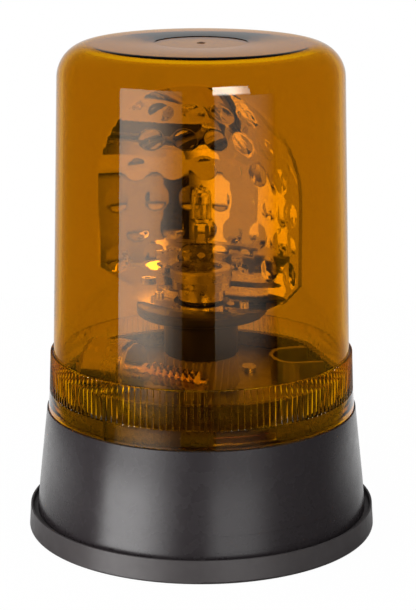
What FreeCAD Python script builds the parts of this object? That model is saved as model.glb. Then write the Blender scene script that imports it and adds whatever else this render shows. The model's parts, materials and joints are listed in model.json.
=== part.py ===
# Rotating beacon: an amber dome on a round base, a lamp on a fixed centre post, and a reflector
# that a small motor turns round the lamp through a worm and worm wheel.
# Lengths are in millimetres and angles in degrees. The beacon stands on z = 0, its axis is Z, and
# -Y is its front.
import FreeCAD
import Part
import Sketcher
import math
import os

Vector = FreeCAD.Vector
UP = Vector(0, 0, 1)
WHOLE_TURN = 360.0

# Each row is a cell of the sheet: its alias, its value and what it measures.
BASE_SIZES = (
    ("foot_radius", 82.0, "outside of the rubber foot at the ground"),
    ("foot_lip_radius", 81.2, "outside of the rubber foot at its lip"),
    ("foot_height", 10.9, "height of the rubber lip"),
    ("foot_floor", 3.0, "thickness of the rubber under the base"),
    ("foot_inner_radius", 54.0, "opening in the rubber foot"),
    ("foot_lip_width", 0.9, "width of the rubber lip along its top"),
    ("foot_groove_depth", 1.8, "depth of the groove between lip and base"),
    ("foot_edge_round", 1.2, "rounding of the foot at the ground"),
    ("base_radius", 77.7, "outside of the base wall at the foot"),
    ("base_crease_radius", 76.6, "outside of the base wall at its crease"),
    ("base_crease_height", 22.7, "height of the crease in the base wall"),
    ("base_top_radius", 72.6, "outside of the base wall at the shoulder"),
    ("base_height", 58.5, "height of the shoulder that carries the dome"),
    ("base_wall", 3.0, "wall of the base"),
    ("floor_underside", 18.0, "underside of the floor inside the base"),
    ("floor_thickness", 3.0, "floor inside the base"),
    ("collar_radius", 66.0, "outside of the collar inside the dome"),
    ("collar_inner_radius", 62.0, "inside of the collar"),
    ("collar_height", 77.5, "top of the collar"),
    ("ledge_radius", 59.3, "inside of the ledge that carries the chassis"),
    ("ledge_depth", 3.0, "depth of the ledge under the chassis"),
    ("bolt_circle", 130.0, "diameter of the circle through the fixing bolts"),
    ("bolt_angle", 90.0, "direction of the first fixing bolt"),
    ("boss_radius", 6.5, "boss round each fixing insert"),
    ("boss_web", 4.0, "thickness of the web behind each boss"),
    ("insert_radius", 4.0, "outside of the brass insert"),
    ("insert_length", 11.0, "length of the brass insert"),
    ("insert_bore", 2.5, "radius of the tapped hole in the insert"),
    ("bolt_clearance", 3.4, "radius of the bolt hole in the rubber foot"),
    ("cable_radius", 3.5, "hole in the grommet for the supply cable"),
    ("grommet_radius", 6.5, "hole in the floor for the grommet"),
    ("grommet_flange", 2.5, "how far the grommet covers the floor"),
    ("grommet_lip", 1.4, "thickness of each grommet flange"),
)
DOME_SIZES = (
    ("dome_rim_radius", 72.0, "outside of the skirt at its rim"),
    ("dome_skirt_radius", 71.3, "outside of the skirt where the ribs begin"),
    ("dome_rib_base", 67.5, "where the ribs begin"),
    ("dome_rib_top", 85.6, "where the ribs end"),
    ("dome_rib_radius", 70.6, "outside of the ribs at their top"),
    ("dome_rib_count", 150, "ribs round the dome"),
    ("dome_rib_width", 0.9, "width of a rib"),
    ("dome_rib_depth", 0.5, "depth of the grooves between the ribs"),
    ("dome_foot_radius", 69.1, "outside of the tall wall above the ribs"),
    ("dome_top_radius", 65.5, "outside of the tall wall where the shoulder begins"),
    ("dome_height", 228.9, "top of the dome"),
    ("dome_wall", 3.0, "wall of the dome"),
    ("dome_shoulder", 15.5, "rounding of the dome's shoulder"),
    ("dome_skirt_inner", 68.5, "inside of the skirt"),
    ("dome_disc_radius", 21.3, "shallow disc in the top"),
    ("dome_disc_depth", 0.3, "depth of the disc in the top"),
    ("seal_width", 2.4, "width of the sealing ring"),
    ("seal_depth", 1.5, "depth of the groove for the sealing ring"),
    ("seal_proud", 0.1, "how far the sealing ring stands out of its groove"),
    ("dome_gap", 0.4, "gap between shoulder and rim"),
    ("lug_count", 3, "bayonet lugs round the dome"),
    ("lug_angle", 287.0, "middle of the first lug with the dome locked"),
    ("lug_span", 24.0, "angle that a lug covers"),
    ("lug_base", 60.5, "underside of the lugs"),
    ("lug_thickness", 3.0, "thickness of the lugs"),
    ("lug_radius", 66.4, "inside of the lugs"),
    ("catch_radius", 67.8, "outside of the catches on the collar"),
    ("catch_thickness", 2.0, "thickness of the catches"),
    ("catch_gap", 0.4, "gap between a lug and its catch or stop"),
    ("dome_turn", 50.0, "how far the dome turns between its stops"),
    ("stop_span", 1.6, "angle that a stop rib covers"),
    ("stop_top", 76.0, "top of the stop ribs"),
)
CHASSIS_SIZES = (
    ("chassis_radius", 61.5, "edge of the chassis plate"),
    ("chassis_underside", 68.0, "underside of the chassis plate"),
    ("chassis_thickness", 2.5, "thickness of the chassis plate"),
    ("well_count", 3, "screw wells round the chassis"),
    ("well_angle", 24.0, "direction of the first well"),
    ("well_distance", 46.0, "chassis screw from the axis"),
    ("well_radius", 9.5, "outside of the well wall"),
    ("well_wall", 2.0, "thickness of the well wall"),
    ("well_height", 7.5, "height of the well wall"),
    ("well_mouth", 59.5, "open end of the well from the axis"),
    ("pillar_radius", 5.0, "pillar under each chassis screw"),
    ("pillar_bore", 1.6, "screw hole in the pillar"),
    ("gusset_thickness", 2.4, "gusset between pillar and wall"),
    ("screw_radius", 1.5, "shank of the chassis screws"),
    ("screw_head", 3.4, "head radius of the chassis screws"),
    ("screw_head_height", 2.4, "head height of the chassis screws"),
    ("screw_length", 14.0, "length of the chassis screws"),
    ("screw_clearance", 0.3, "radial gap round a screw in a plain hole"),
    ("cross_width", 0.9, "width of the cross in a screw head"),
    ("cross_depth", 1.2, "depth of the cross in a screw head"),
    ("rivet_distance", 34.0, "rivets from the axis"),
    ("rivet_angle", 47.4, "direction of the first rivet"),
    ("rivet_spread", 34.0, "angle between the two rivets"),
    ("rivet_radius", 1.6, "shank of the rivets"),
    ("rivet_head", 3.5, "head radius of the rivets"),
    ("rivet_head_height", 1.5, "head height of the rivets"),
    ("terminal_length", 30.0, "length of the terminal block"),
    ("terminal_width", 12.0, "width of the terminal block"),
    ("terminal_height", 13.0, "height of the terminal block"),
    ("terminal_pitch", 8.0, "distance between the two terminals"),
    ("terminal_entry", 1.8, "radius of the wire entries"),
    ("terminal_screw", 2.2, "radius of the terminal screws"),
)
LAMP_SIZES = (
    ("post_radius", 5.0, "outside of the centre post"),
    ("post_bore", 2.4, "wire hole through the post"),
    ("post_flange_radius", 11.0, "flange of the post under the chassis"),
    ("post_flange", 2.0, "thickness of the post's flange"),
    ("spigot_radius", 4.0, "top of the post inside the lamp cup"),
    ("washer_radius", 9.6, "outside of the thrust washer"),
    ("washer_thickness", 1.0, "thickness of the thrust washer"),
    ("clip_radius", 7.4, "outside of the retaining clip"),
    ("clip_thickness", 0.8, "thickness of the retaining clip"),
    ("clip_groove", 0.6, "depth of the groove for the clip"),
    ("clip_mouth", 5.0, "open side of the clip"),
    ("cup_base", 109.2, "underside of the lamp cup"),
    ("cup_radius", 11.0, "outside of the lamp cup"),
    ("cup_wall", 1.8, "wall of the lamp cup"),
    ("cup_floor", 3.0, "floor of the lamp cup"),
    ("cup_height", 12.3, "height of the lamp cup"),
    ("pin_radius", 1.1, "bayonet pins of the lamp cup"),
    ("pin_reach", 2.2, "how far the bayonet pins stand out"),
    ("pin_angle", 250.0, "direction of the first bayonet pin"),
    ("pin_height", 117.8, "height of the bayonet pins"),
    ("ring_radius", 14.1, "outside of the knurled ring"),
    ("ring_base", 115.5, "underside of the knurled ring"),
    ("ring_top", 125.0, "top of the knurled ring"),
    ("ring_band", 119.2, "where the knurled band begins"),
    ("ring_neck", 13.7, "outside of the ring below its band"),
    ("ring_opening", 9.8, "opening in the top of the ring"),
    ("ring_turn", 28.0, "how far the ring turns"),
    ("insulator_thickness", 2.0, "insulating disc in the lamp cup"),
    ("contact_width", 5.0, "width of the lamp contact"),
    ("contact_thickness", 0.8, "thickness of the lamp contact"),
    ("bulb_flange_radius", 10.5, "flange of the bulb's metal base"),
    ("bulb_flange", 1.8, "thickness of that flange"),
    ("holder_half_width", 5.4, "half width of the bulb's metal holder"),
    ("holder_half_depth", 3.0, "half depth of the bulb's metal holder"),
    ("holder_top", 135.6, "top of the bulb's metal holder"),
    ("holder_wall", 0.35, "sheet of the metal holder"),
    ("holder_hole", 2.0, "radius of the hole stamped in the holder"),
    ("holder_hole_height", 130.4, "height of that hole"),
    ("pinch_half_width", 4.95, "half width of the flat glass pinch"),
    ("pinch_half_depth", 1.6, "half depth of the flat glass pinch"),
    ("pinch_base", 125.6, "lower end of the glass pinch"),
    ("pinch_top", 147.4, "upper end of the glass pinch"),
    ("capsule_base", 145.8, "lower end of the glass capsule"),
    ("capsule_radius", 4.65, "outside of the glass capsule"),
    ("capsule_wall", 1.0, "wall of the glass capsule"),
    ("capsule_top", 162.4, "top of the glass capsule below its tip"),
    ("capsule_tip", 1.2, "height of the sealed tip"),
    ("filament_base", 149.0, "lower end of the filament"),
    ("filament_length", 5.2, "length of the filament"),
    ("filament_radius", 0.75, "outside of the coiled filament"),
)
ROTOR_SIZES = (
    ("rest_angle", -23.4, "direction of the rotor at rest"),
    ("column_radius", 17.3, "outside of the carrier column"),
    ("column_base", 84.6, "underside of the carrier column"),
    ("flange_radius", 30.3, "carrier flange under the reflector"),
    ("flange_base", 102.6, "underside of the carrier flange"),
    ("flange_top", 107.9, "top of the carrier flange"),
    ("flange_flare", 5.0, "fillet between column and flange"),
    ("flange_under_edge", 2.4, "rounding of the flange's lower edge"),
    ("flange_edge", 1.2, "rounding of the flange's upper edge"),
    ("hub_radius", 8.0, "bore of the carrier for its bushes"),
    ("spigot_outer", 11.0, "spigot of the carrier inside the worm wheel"),
    ("bush_bore_gap", 0.05, "radial running gap of the bushes on the post"),
    ("bush_length", 9.0, "length of each bush"),
    ("bush_flange", 1.0, "thickness of the lower bush's flange"),
    ("press_gap", 0.02, "radial gap of a pressed ring in the model"),
    ("module", 1.1, "tooth module of worm and wheel"),
    ("wheel_teeth", 30, "teeth of the worm wheel"),
    ("wheel_base", 72.5, "underside of the worm wheel"),
    ("wheel_width", 11.6, "face width of the worm wheel"),
    ("backlash", 0.30, "play between teeth and thread"),
    ("reflector_axis", 160.5, "height of the reflector's optical axis"),
    ("reflector_radius", 50.0, "inside of the reflector at its mouth"),
    ("reflector_front", 6.0, "mouth of the reflector in front of the axis"),
    ("reflector_depth", 28.0, "depth of the reflector behind its mouth"),
    ("reflector_wall", 1.5, "wall of the reflector"),
    ("reflector_foot", 1.0, "thickness of the reflector's foot"),
    ("reflector_corner", 12.6, "chamfer of the reflector's lower corners"),
    ("reflector_apron", 19.0, "how far the foot reaches in front of the axis"),
    ("reflector_apron_curve", 50.0, "radius of the foot's front edge"),
    ("reflector_hole", 13.0, "hole in the foot round the lamp cup"),
    ("clamp_point", 21.5, "reflector screws from the axis"),
    ("small_screw_radius", 1.1, "shank of the reflector screws"),
    ("small_screw_head", 2.3, "head radius of the reflector screws"),
    ("small_screw_head_height", 1.6, "head height of the reflector screws"),
    ("small_screw_length", 4.0, "length of the reflector screws"),
)
MOTOR_SIZES = (
    ("motor_angle", -33.0, "direction of the motor shaft"),
    ("motor_height", 78.3, "height of the motor shaft"),
    ("worm_pitch_radius", 3.1, "pitch radius of the worm"),
    ("worm_turns", 8, "turns of the worm thread"),
    ("worm_boss_radius", 3.15, "boss of the worm on the motor side"),
    ("worm_boss_end", -23.0, "end of the worm's boss along the shaft"),
    ("shaft_radius", 1.0, "motor shaft"),
    ("shaft_tip", 16.5, "free end of the motor shaft"),
    ("shaft_gap", 0.04, "radial running gap of the motor shaft"),
    ("can_radius", 10.0, "outside of the motor can"),
    ("can_front", -25.0, "front end of the motor can along the shaft"),
    ("can_length", 22.0, "length of the motor can"),
    ("front_cap_radius", 10.25, "front cap of the motor"),
    ("front_cap", 1.0, "thickness of the front cap"),
    ("bearing_radius", 3.0, "bearing boss on the front cap"),
    ("rear_cap", 3.0, "thickness of the rear cap"),
    ("tag_width", 2.6, "width of the motor's terminal tags"),
    ("tag_thickness", 0.5, "thickness of the terminal tags"),
    ("tag_length", 3.4, "how far the terminal tags stand out"),
    ("tag_spacing", 11.0, "distance between the terminal tags"),
    ("strap_place", -31.0, "middle of the motor strap along the shaft"),
    ("strap_width", 8.0, "width of the motor strap"),
    ("strap_thickness", 1.2, "sheet of the motor strap"),
    ("strap_foot", 8.5, "length of each foot of the strap"),
    ("window_margin", 1.5, "space before and behind the motor in its window"),
    ("window_side", 1.2, "space on each side of the motor in its window"),
)


class Size:
    """A length, angle or count: its value, and the expression that ties it to the sheet."""

    def __init__(self, value, text):
        self.value = float(value)
        self.text = text

    def __add__(self, other):
        other = as_size(other)
        return Size(self.value + other.value, "(%s + %s)" % (self.text, other.text))

    def __sub__(self, other):
        other = as_size(other)
        return Size(self.value - other.value, "(%s - %s)" % (self.text, other.text))

    def __mul__(self, other):
        other = as_size(other)
        return Size(self.value * other.value, "(%s * %s)" % (self.text, other.text))

    def __truediv__(self, other):
        other = as_size(other)
        return Size(self.value / other.value, "(%s / %s)" % (self.text, other.text))

    def __neg__(self):
        return Size(-self.value, "(0 - %s)" % self.text)


def as_size(number):
    if isinstance(number, Size):
        return number
    return Size(number, repr(float(number)))


def cosine(angle):
    return Size(math.cos(math.radians(angle.value)), "cos(%s)" % angle.text)


def sine(angle):
    return Size(math.sin(math.radians(angle.value)), "sin(%s)" % angle.text)


def root(number):
    return Size(math.sqrt(number.value), "sqrt(%s)" % number.text)


class Sizes:
    """The spreadsheet of driving dimensions, read as attributes of this object."""

    def __init__(self, document):
        self.sheet = document.addObject("Spreadsheet::Sheet", "Sizes")
        row = 1
        for group in (BASE_SIZES, DOME_SIZES, CHASSIS_SIZES, LAMP_SIZES, ROTOR_SIZES, MOTOR_SIZES):
            for alias, value, meaning in group:
                self.sheet.set("A%d" % row, alias)
                self.sheet.set("B%d" % row, str(value))
                self.sheet.set("C%d" % row, meaning)
                self.sheet.setAlias("B%d" % row, alias)
                setattr(self, alias, Size(value, "Sizes." + alias))
                row += 1


document = FreeCAD.newDocument("RotatingBeacon")
sizes = Sizes(document)
document.recompute()

pieces = []


# ---- Ways of making a piece ----

def new_body(label):
    body = document.addObject("PartDesign::Body", label)
    body.Label = label
    pieces.append(body)
    return body


def origin_feature(body, role):
    return [item for item in body.Origin.OriginFeatures if item.Role == role][0]


def bind(item, place, size):
    """Set a number of an object, and tie it to the sheet."""
    if isinstance(size, Size):
        item.setExpression(place, size.text)
    else:
        item.setExpression(place, repr(float(size)))


def new_sketch(body, name, plane="XY_Plane", lift=0, turn=0):
    """A sketch on an origin plane, lifted along the plane's normal and turned about the Z axis."""
    sketch = body.newObject("Sketcher::SketchObject", name)
    sketch.AttachmentSupport = [(origin_feature(body, plane), "")]
    sketch.MapMode = "FlatFace"
    lift = as_size(lift)
    turn = as_size(turn)
    if plane == "XY_Plane":
        base = {"z": lift}
        turning = UP
    else:
        base = {"x": lift * sine(turn), "z": lift * cosine(turn)}
        turning = Vector(0, 1, 0)
    offset = Vector(0, 0, 0)
    for letter, size in base.items():
        setattr(offset, letter, size.value)
    sketch.AttachmentOffset = FreeCAD.Placement(offset, FreeCAD.Rotation(turning, turn.value))
    for letter, size in base.items():
        bind(sketch, "AttachmentOffset.Base." + letter, size)
    if turn.value != 0:
        bind(sketch, "AttachmentOffset.Rotation.Angle", turn)
    return sketch


def place_point(sketch, curve, end, across, along):
    """Tie one point of a curve to its distances from the sketch's origin."""
    for kind, amount, axis in (("DistanceX", across, -2), ("DistanceY", along, -1)):
        if not isinstance(amount, Size) and amount == 0:
            sketch.addConstraint(Sketcher.Constraint("PointOnObject", curve, end, axis))
        else:
            value = as_size(amount).value
            number = sketch.addConstraint(Sketcher.Constraint(kind, -1, 1, curve, end, value))
            bind(sketch, "Constraints[%d]" % number, amount)


def add_outline(sketch, corners):
    """A closed outline of straight sides through the corners."""
    places = [Vector(as_size(across).value, as_size(along).value, 0) for across, along in corners]
    first = sketch.GeometryCount
    count = len(corners)
    for index in range(count):
        side = Part.LineSegment(places[index], places[(index + 1) % count])
        sketch.addGeometry(side, False)
    for index in range(count):
        after = first + (index + 1) % count
        sketch.addConstraint(Sketcher.Constraint("Coincident", first + index, 2, after, 1))
    for index, (across, along) in enumerate(corners):
        place_point(sketch, first + index, 1, across, along)


def add_circle(sketch, radius, across=0, along=0):
    centre = Vector(as_size(across).value, as_size(along).value, 0)
    curve = sketch.addGeometry(Part.Circle(centre, UP, as_size(radius).value), False)
    place_point(sketch, curve, 3, across, along)
    number = sketch.addConstraint(Sketcher.Constraint("Radius", curve, as_size(radius).value))
    bind(sketch, "Constraints[%d]" % number, radius)


def outline_sketch(body, name, corners, plane="XZ_Plane", lift=0, turn=0):
    sketch = new_sketch(body, name, plane, lift, turn)
    add_outline(sketch, corners)
    return sketch


def circle_sketch(body, name, radius, across=0, along=0, plane="XY_Plane", lift=0, turn=0):
    sketch = new_sketch(body, name, plane, lift, turn)
    add_circle(sketch, radius, across, along)
    return sketch


def box_corners(low_across, high_across, low_along, high_along):
    return [(low_across, low_along), (high_across, low_along),
            (high_across, high_along), (low_across, high_along)]


def sector_sketch(body, name, inner, outer, span, lift, turn):
    """A piece of a ring between two radii, centred on the turned X axis."""
    sketch = new_sketch(body, name, "XY_Plane", lift, turn)
    half = math.radians(span.value / 2)
    ends = []
    for radius in (inner, outer):
        circle = Part.Circle(Vector(0, 0, 0), UP, radius.value)
        ends.append(sketch.addGeometry(Part.ArcOfCircle(circle, -half, half), False))
    inner_arc, outer_arc = ends
    for side, end in ((-half, 1), (half, 2)):
        direction = Vector(math.cos(side), math.sin(side), 0)
        line = sketch.addGeometry(Part.LineSegment(direction * inner.value,
                                                   direction * outer.value), False)
        sketch.addConstraint(Sketcher.Constraint("Coincident", line, 1, inner_arc, end))
        sketch.addConstraint(Sketcher.Constraint("Coincident", line, 2, outer_arc, end))
        number = sketch.addConstraint(Sketcher.Constraint("Angle", line, side))
        bind(sketch, "Constraints[%d]" % number, span * (0.5 if side > 0 else -0.5))
    for arc, radius in ((inner_arc, inner), (outer_arc, outer)):
        sketch.addConstraint(Sketcher.Constraint("Coincident", arc, 3, -1, 1))
        number = sketch.addConstraint(Sketcher.Constraint("Radius", arc, radius.value))
        bind(sketch, "Constraints[%d]" % number, radius)
    return sketch


def revolve(body, name, corners):
    """A turned form from corners given as radius and height."""
    sketch = outline_sketch(body, name + "Profile", corners)
    turned = body.newObject("PartDesign::Revolution", name)
    turned.Profile = sketch
    turned.ReferenceAxis = (sketch, ["V_Axis"])
    turned.Angle = WHOLE_TURN
    body.Tip = turned
    return turned


def pad(body, name, sketch, length, middle=False, down=False):
    made = body.newObject("PartDesign::Pad", name)
    made.Profile = sketch
    made.Length = as_size(length).value
    bind(made, "Length", length)
    made.Midplane = middle
    made.Reversed = down
    body.Tip = made
    return made


def pocket(body, name, sketch, length, middle=False, up=False):
    """A cut from the sketch's plane, downwards unless it is centred or goes up."""
    made = body.newObject("PartDesign::Pocket", name)
    made.Profile = sketch
    made.Length = as_size(length).value
    bind(made, "Length", length)
    made.Midplane = middle
    made.Reversed = up
    body.Tip = made
    return made


def around(body, name, features, count):
    pattern = body.newObject("PartDesign::PolarPattern", name)
    pattern.Originals = features
    pattern.Axis = (origin_feature(body, "Z_Axis"), [""])
    pattern.Angle = WHOLE_TURN
    pattern.Occurrences = int(as_size(count).value)
    if isinstance(count, Size):
        bind(pattern, "Occurrences", count)
    body.Tip = pattern
    return pattern


def ring_edges(shape, radius, height):
    """Names of the round edges with this radius at this height."""
    names = []
    for index, edge in enumerate(shape.Edges):
        curve = edge.Curve
        if not isinstance(curve, Part.Circle):
            continue
        same_radius = abs(curve.Radius - radius.value) < 1e-4
        same_height = abs(curve.Center.z - height.value) < 1e-4
        if same_radius and same_height:
            names.append("Edge%d" % (index + 1))
    return names


def fillet(body, name, places, radius):
    """Round the circular edges at these pairs of radius and height."""
    document.recompute()
    base = body.Tip
    names = []
    for edge_radius, edge_height in places:
        names += ring_edges(base.Shape, edge_radius, edge_height)
    made = body.newObject("PartDesign::Fillet", name)
    made.Base = (base, names)
    made.Radius = radius.value
    bind(made, "Radius", radius)
    body.Tip = made
    return made


def shaped_piece(label, shape, placement=None):
    """A piece whose form is worked out with Part's own functions."""
    piece = document.addObject("Part::Feature", label)
    piece.Label = label
    piece.Shape = shape
    if placement is not None:
        piece.Placement = placement
    pieces.append(piece)
    return piece


# ---- Places that several pieces share ----

floor_top = sizes.floor_underside + sizes.floor_thickness
bolt_radius = sizes.bolt_circle / 2
chassis_top = sizes.chassis_underside + sizes.chassis_thickness
washer_top = chassis_top + sizes.washer_thickness
ledge_foot = sizes.chassis_underside - sizes.ledge_depth
dome_rim = sizes.base_height + sizes.dome_gap
seal_middle = (sizes.dome_rim_radius + sizes.dome_skirt_inner) / 2
lug_start = sizes.lug_angle - sizes.lug_span / 2
lug_end = sizes.lug_angle + sizes.lug_span / 2
catch_base = sizes.lug_base + sizes.lug_thickness + sizes.catch_gap
well_turn = sizes.well_angle
rivet_middle = sizes.rivet_angle + sizes.rivet_spread / 2
cup_top = sizes.cup_base + sizes.cup_height
bulb_flange_top = cup_top + sizes.bulb_flange
rotor_place = FreeCAD.Placement(Vector(0, 0, 0), FreeCAD.Rotation(UP, sizes.rest_angle.value))


# ---- Base ----

def make_base_gasket():
    body = new_body("base_gasket")
    wall = sizes.base_radius + 0.1
    groove_floor = sizes.foot_height - sizes.foot_groove_depth
    lip_inner = sizes.foot_lip_radius - sizes.foot_lip_width
    revolve(body, "GasketRing", [
        (sizes.foot_inner_radius, 0),
        (sizes.foot_radius, 0),
        (sizes.foot_lip_radius, sizes.foot_height),
        (lip_inner, sizes.foot_height),
        (lip_inner - 0.5, groove_floor),
        (wall, groove_floor),
        (wall, sizes.foot_floor),
        (sizes.foot_inner_radius, sizes.foot_floor)])
    hole = circle_sketch(body, "BoltHoleCircle", sizes.bolt_clearance, bolt_radius, 0,
                         lift=sizes.foot_floor, turn=sizes.bolt_angle)
    cut = pocket(body, "BoltHole", hole, sizes.foot_floor)
    around(body, "BoltHoles", [cut], 3)
    fillet(body, "GroundEdge", [(sizes.foot_radius, as_size(0))], sizes.foot_edge_round)


def make_base_housing():
    body = new_body("base_housing")
    inner = sizes.base_radius - sizes.base_wall
    seal_inner = seal_middle - sizes.seal_width / 2
    seal_outer = seal_middle + sizes.seal_width / 2
    revolve(body, "Shell", [
        (inner, sizes.foot_floor),
        (sizes.base_radius, sizes.foot_floor),
        (sizes.base_radius, sizes.foot_height),
        (sizes.base_crease_radius, sizes.base_crease_height),
        (sizes.base_top_radius, sizes.base_height),
        (seal_outer, sizes.base_height),
        (seal_outer, sizes.base_height - sizes.seal_depth),
        (seal_inner, sizes.base_height - sizes.seal_depth),
        (seal_inner, sizes.base_height),
        (sizes.collar_radius, sizes.base_height),
        (sizes.collar_radius, sizes.collar_height),
        (sizes.collar_inner_radius, sizes.collar_height),
        (sizes.collar_inner_radius, sizes.chassis_underside),
        (sizes.ledge_radius, sizes.chassis_underside),
        (sizes.ledge_radius, ledge_foot),
        (sizes.collar_inner_radius, ledge_foot - sizes.ledge_depth),
        (sizes.collar_inner_radius, sizes.base_height - sizes.base_wall * 1.5),
        (sizes.base_top_radius - sizes.base_wall, sizes.base_height - sizes.base_wall * 1.5),
        (sizes.base_crease_radius - sizes.base_wall, sizes.base_crease_height),
        (inner, sizes.foot_height)])
    floor_edge = sizes.base_crease_radius - sizes.base_wall / 2
    revolve(body, "Floor", [
        (sizes.grommet_radius, sizes.floor_underside),
        (floor_edge, sizes.floor_underside),
        (floor_edge, floor_top),
        (sizes.grommet_radius, floor_top)])
    boss_height = sizes.floor_underside - sizes.foot_floor + 1
    boss = pad(body, "Boss", circle_sketch(body, "BossCircle", sizes.boss_radius, bolt_radius, 0,
                                           lift=sizes.foot_floor, turn=sizes.bolt_angle), boss_height)
    half_web = sizes.boss_web / 2
    web_corners = box_corners(bolt_radius, inner + 1, -half_web, half_web)
    web_sketch = outline_sketch(body, "BossWebOutline", web_corners, "XY_Plane",
                                sizes.foot_floor, sizes.bolt_angle)
    web = pad(body, "BossWeb", web_sketch, boss_height)
    seat = circle_sketch(body, "InsertSeatCircle", sizes.insert_radius + sizes.press_gap, bolt_radius,
                         0, lift=sizes.foot_floor, turn=sizes.bolt_angle)
    cut = pocket(body, "InsertSeat", seat, sizes.insert_length, up=True)
    around(body, "Bosses", [boss, web, cut], 3)
    pillar_height = sizes.chassis_underside - floor_top
    pillar = pad(body, "Pillar", circle_sketch(body, "PillarCircle", sizes.pillar_radius,
                                               sizes.well_distance, 0, lift=floor_top - 1,
                                               turn=well_turn), pillar_height + 1)
    gusset_sketch = outline_sketch(body, "GussetOutline", [
        (sizes.well_distance, floor_top - 1),
        (sizes.base_crease_radius - sizes.base_wall / 2, floor_top - 1),
        (sizes.base_top_radius - sizes.base_wall / 2, sizes.base_height - sizes.base_wall * 2),
        (sizes.well_distance, sizes.base_height - sizes.base_wall)], "XZ_Plane", 0, well_turn)
    gusset = pad(body, "Gusset", gusset_sketch, sizes.gusset_thickness, middle=True)
    bore = circle_sketch(body, "PillarBoreCircle", sizes.pillar_bore, sizes.well_distance, 0,
                         lift=sizes.chassis_underside, turn=well_turn)
    drilled = pocket(body, "PillarBore", bore, sizes.screw_length)
    around(body, "Pillars", [pillar, gusset, drilled], sizes.well_count)
    catch_sketch = sector_sketch(body, "CatchSector", sizes.collar_radius - 1, sizes.catch_radius,
                                 sizes.lug_span, catch_base, sizes.lug_angle)
    catch = pad(body, "Catch", catch_sketch, sizes.catch_thickness)
    gap_angle = sizes.catch_gap / sizes.lug_radius * (180 / math.pi)
    stop_height = sizes.stop_top - sizes.base_height + 1
    stops = []
    lock_stop = lug_start - gap_angle - sizes.stop_span / 2
    free_stop = lug_end + sizes.dome_turn + gap_angle + sizes.stop_span / 2
    for name, angle in (("LockStop", lock_stop), ("FreeStop", free_stop)):
        stop_sketch = sector_sketch(body, name + "Sector", sizes.collar_radius - 1, sizes.catch_radius,
                                    sizes.stop_span, sizes.base_height - 1, angle)
        stops.append(pad(body, name, stop_sketch, stop_height))
    around(body, "Bayonet", [catch] + stops, sizes.lug_count)


def make_mounting_inserts():
    body = new_body("mounting_inserts")
    sketch = new_sketch(body, "InsertCircles", "XY_Plane", sizes.foot_floor, sizes.bolt_angle)
    add_circle(sketch, sizes.insert_radius, bolt_radius, 0)
    add_circle(sketch, sizes.insert_bore, bolt_radius, 0)
    insert = pad(body, "Insert", sketch, sizes.insert_length - 1)
    around(body, "Inserts", [insert], 3)


def make_cable_grommet():
    body = new_body("cable_grommet")
    groove = sizes.grommet_radius - sizes.press_gap
    edge = sizes.grommet_radius + sizes.grommet_flange
    revolve(body, "Grommet", [
        (sizes.cable_radius, sizes.floor_underside - sizes.grommet_lip),
        (edge - 0.6, sizes.floor_underside - sizes.grommet_lip),
        (edge, sizes.floor_underside),
        (groove, sizes.floor_underside),
        (groove, floor_top),
        (edge, floor_top),
        (edge - 0.6, floor_top + sizes.grommet_lip),
        (sizes.cable_radius, floor_top + sizes.grommet_lip)])


# ---- Dome ----

def make_dome_seal():
    body = new_body("dome_seal")
    half = sizes.seal_width / 2 - sizes.press_gap
    revolve(body, "SealRing", box_corners(
        seal_middle - half, seal_middle + half,
        sizes.base_height - sizes.seal_depth, sizes.base_height + sizes.seal_proud))


def make_dome():
    body = new_body("dome")
    shoulder = sizes.dome_height - sizes.dome_shoulder
    slope = (sizes.dome_foot_radius - sizes.dome_top_radius) / (shoulder - sizes.dome_rib_top)
    corner_radius = sizes.dome_top_radius - slope * sizes.dome_shoulder
    inner_height = sizes.dome_height - sizes.dome_wall
    inner_corner = sizes.dome_top_radius - slope * (sizes.dome_shoulder - sizes.dome_wall)
    inner_corner = inner_corner - sizes.dome_wall
    skirt_inner_top = sizes.collar_height + 0.8
    revolve(body, "Shell", [
        (sizes.dome_skirt_inner, dome_rim),
        (sizes.dome_rim_radius, dome_rim),
        (sizes.dome_skirt_radius, sizes.dome_rib_base),
        (sizes.dome_rib_radius, sizes.dome_rib_top),
        (sizes.dome_foot_radius, sizes.dome_rib_top),
        (corner_radius, sizes.dome_height),
        (sizes.dome_disc_radius, sizes.dome_height),
        (sizes.dome_disc_radius, sizes.dome_height - sizes.dome_disc_depth),
        (0, sizes.dome_height - sizes.dome_disc_depth),
        (0, inner_height),
        (inner_corner, inner_height),
        (sizes.dome_foot_radius - sizes.dome_wall, sizes.dome_rib_top),
        (sizes.dome_skirt_inner - 0.3, skirt_inner_top)])
    fillet(body, "Shoulder", [(corner_radius, sizes.dome_height)], sizes.dome_shoulder)
    fillet(body, "InnerShoulder", [(inner_corner, inner_height)],
           sizes.dome_shoulder - sizes.dome_wall)
    add_ribs(body)
    lug_sketch = sector_sketch(body, "LugSector", sizes.lug_radius, sizes.dome_skirt_inner + 1,
                               sizes.lug_span, sizes.lug_base, sizes.lug_angle)
    lug = pad(body, "Lug", lug_sketch, sizes.lug_thickness)
    around(body, "Lugs", [lug], sizes.lug_count)


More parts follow.
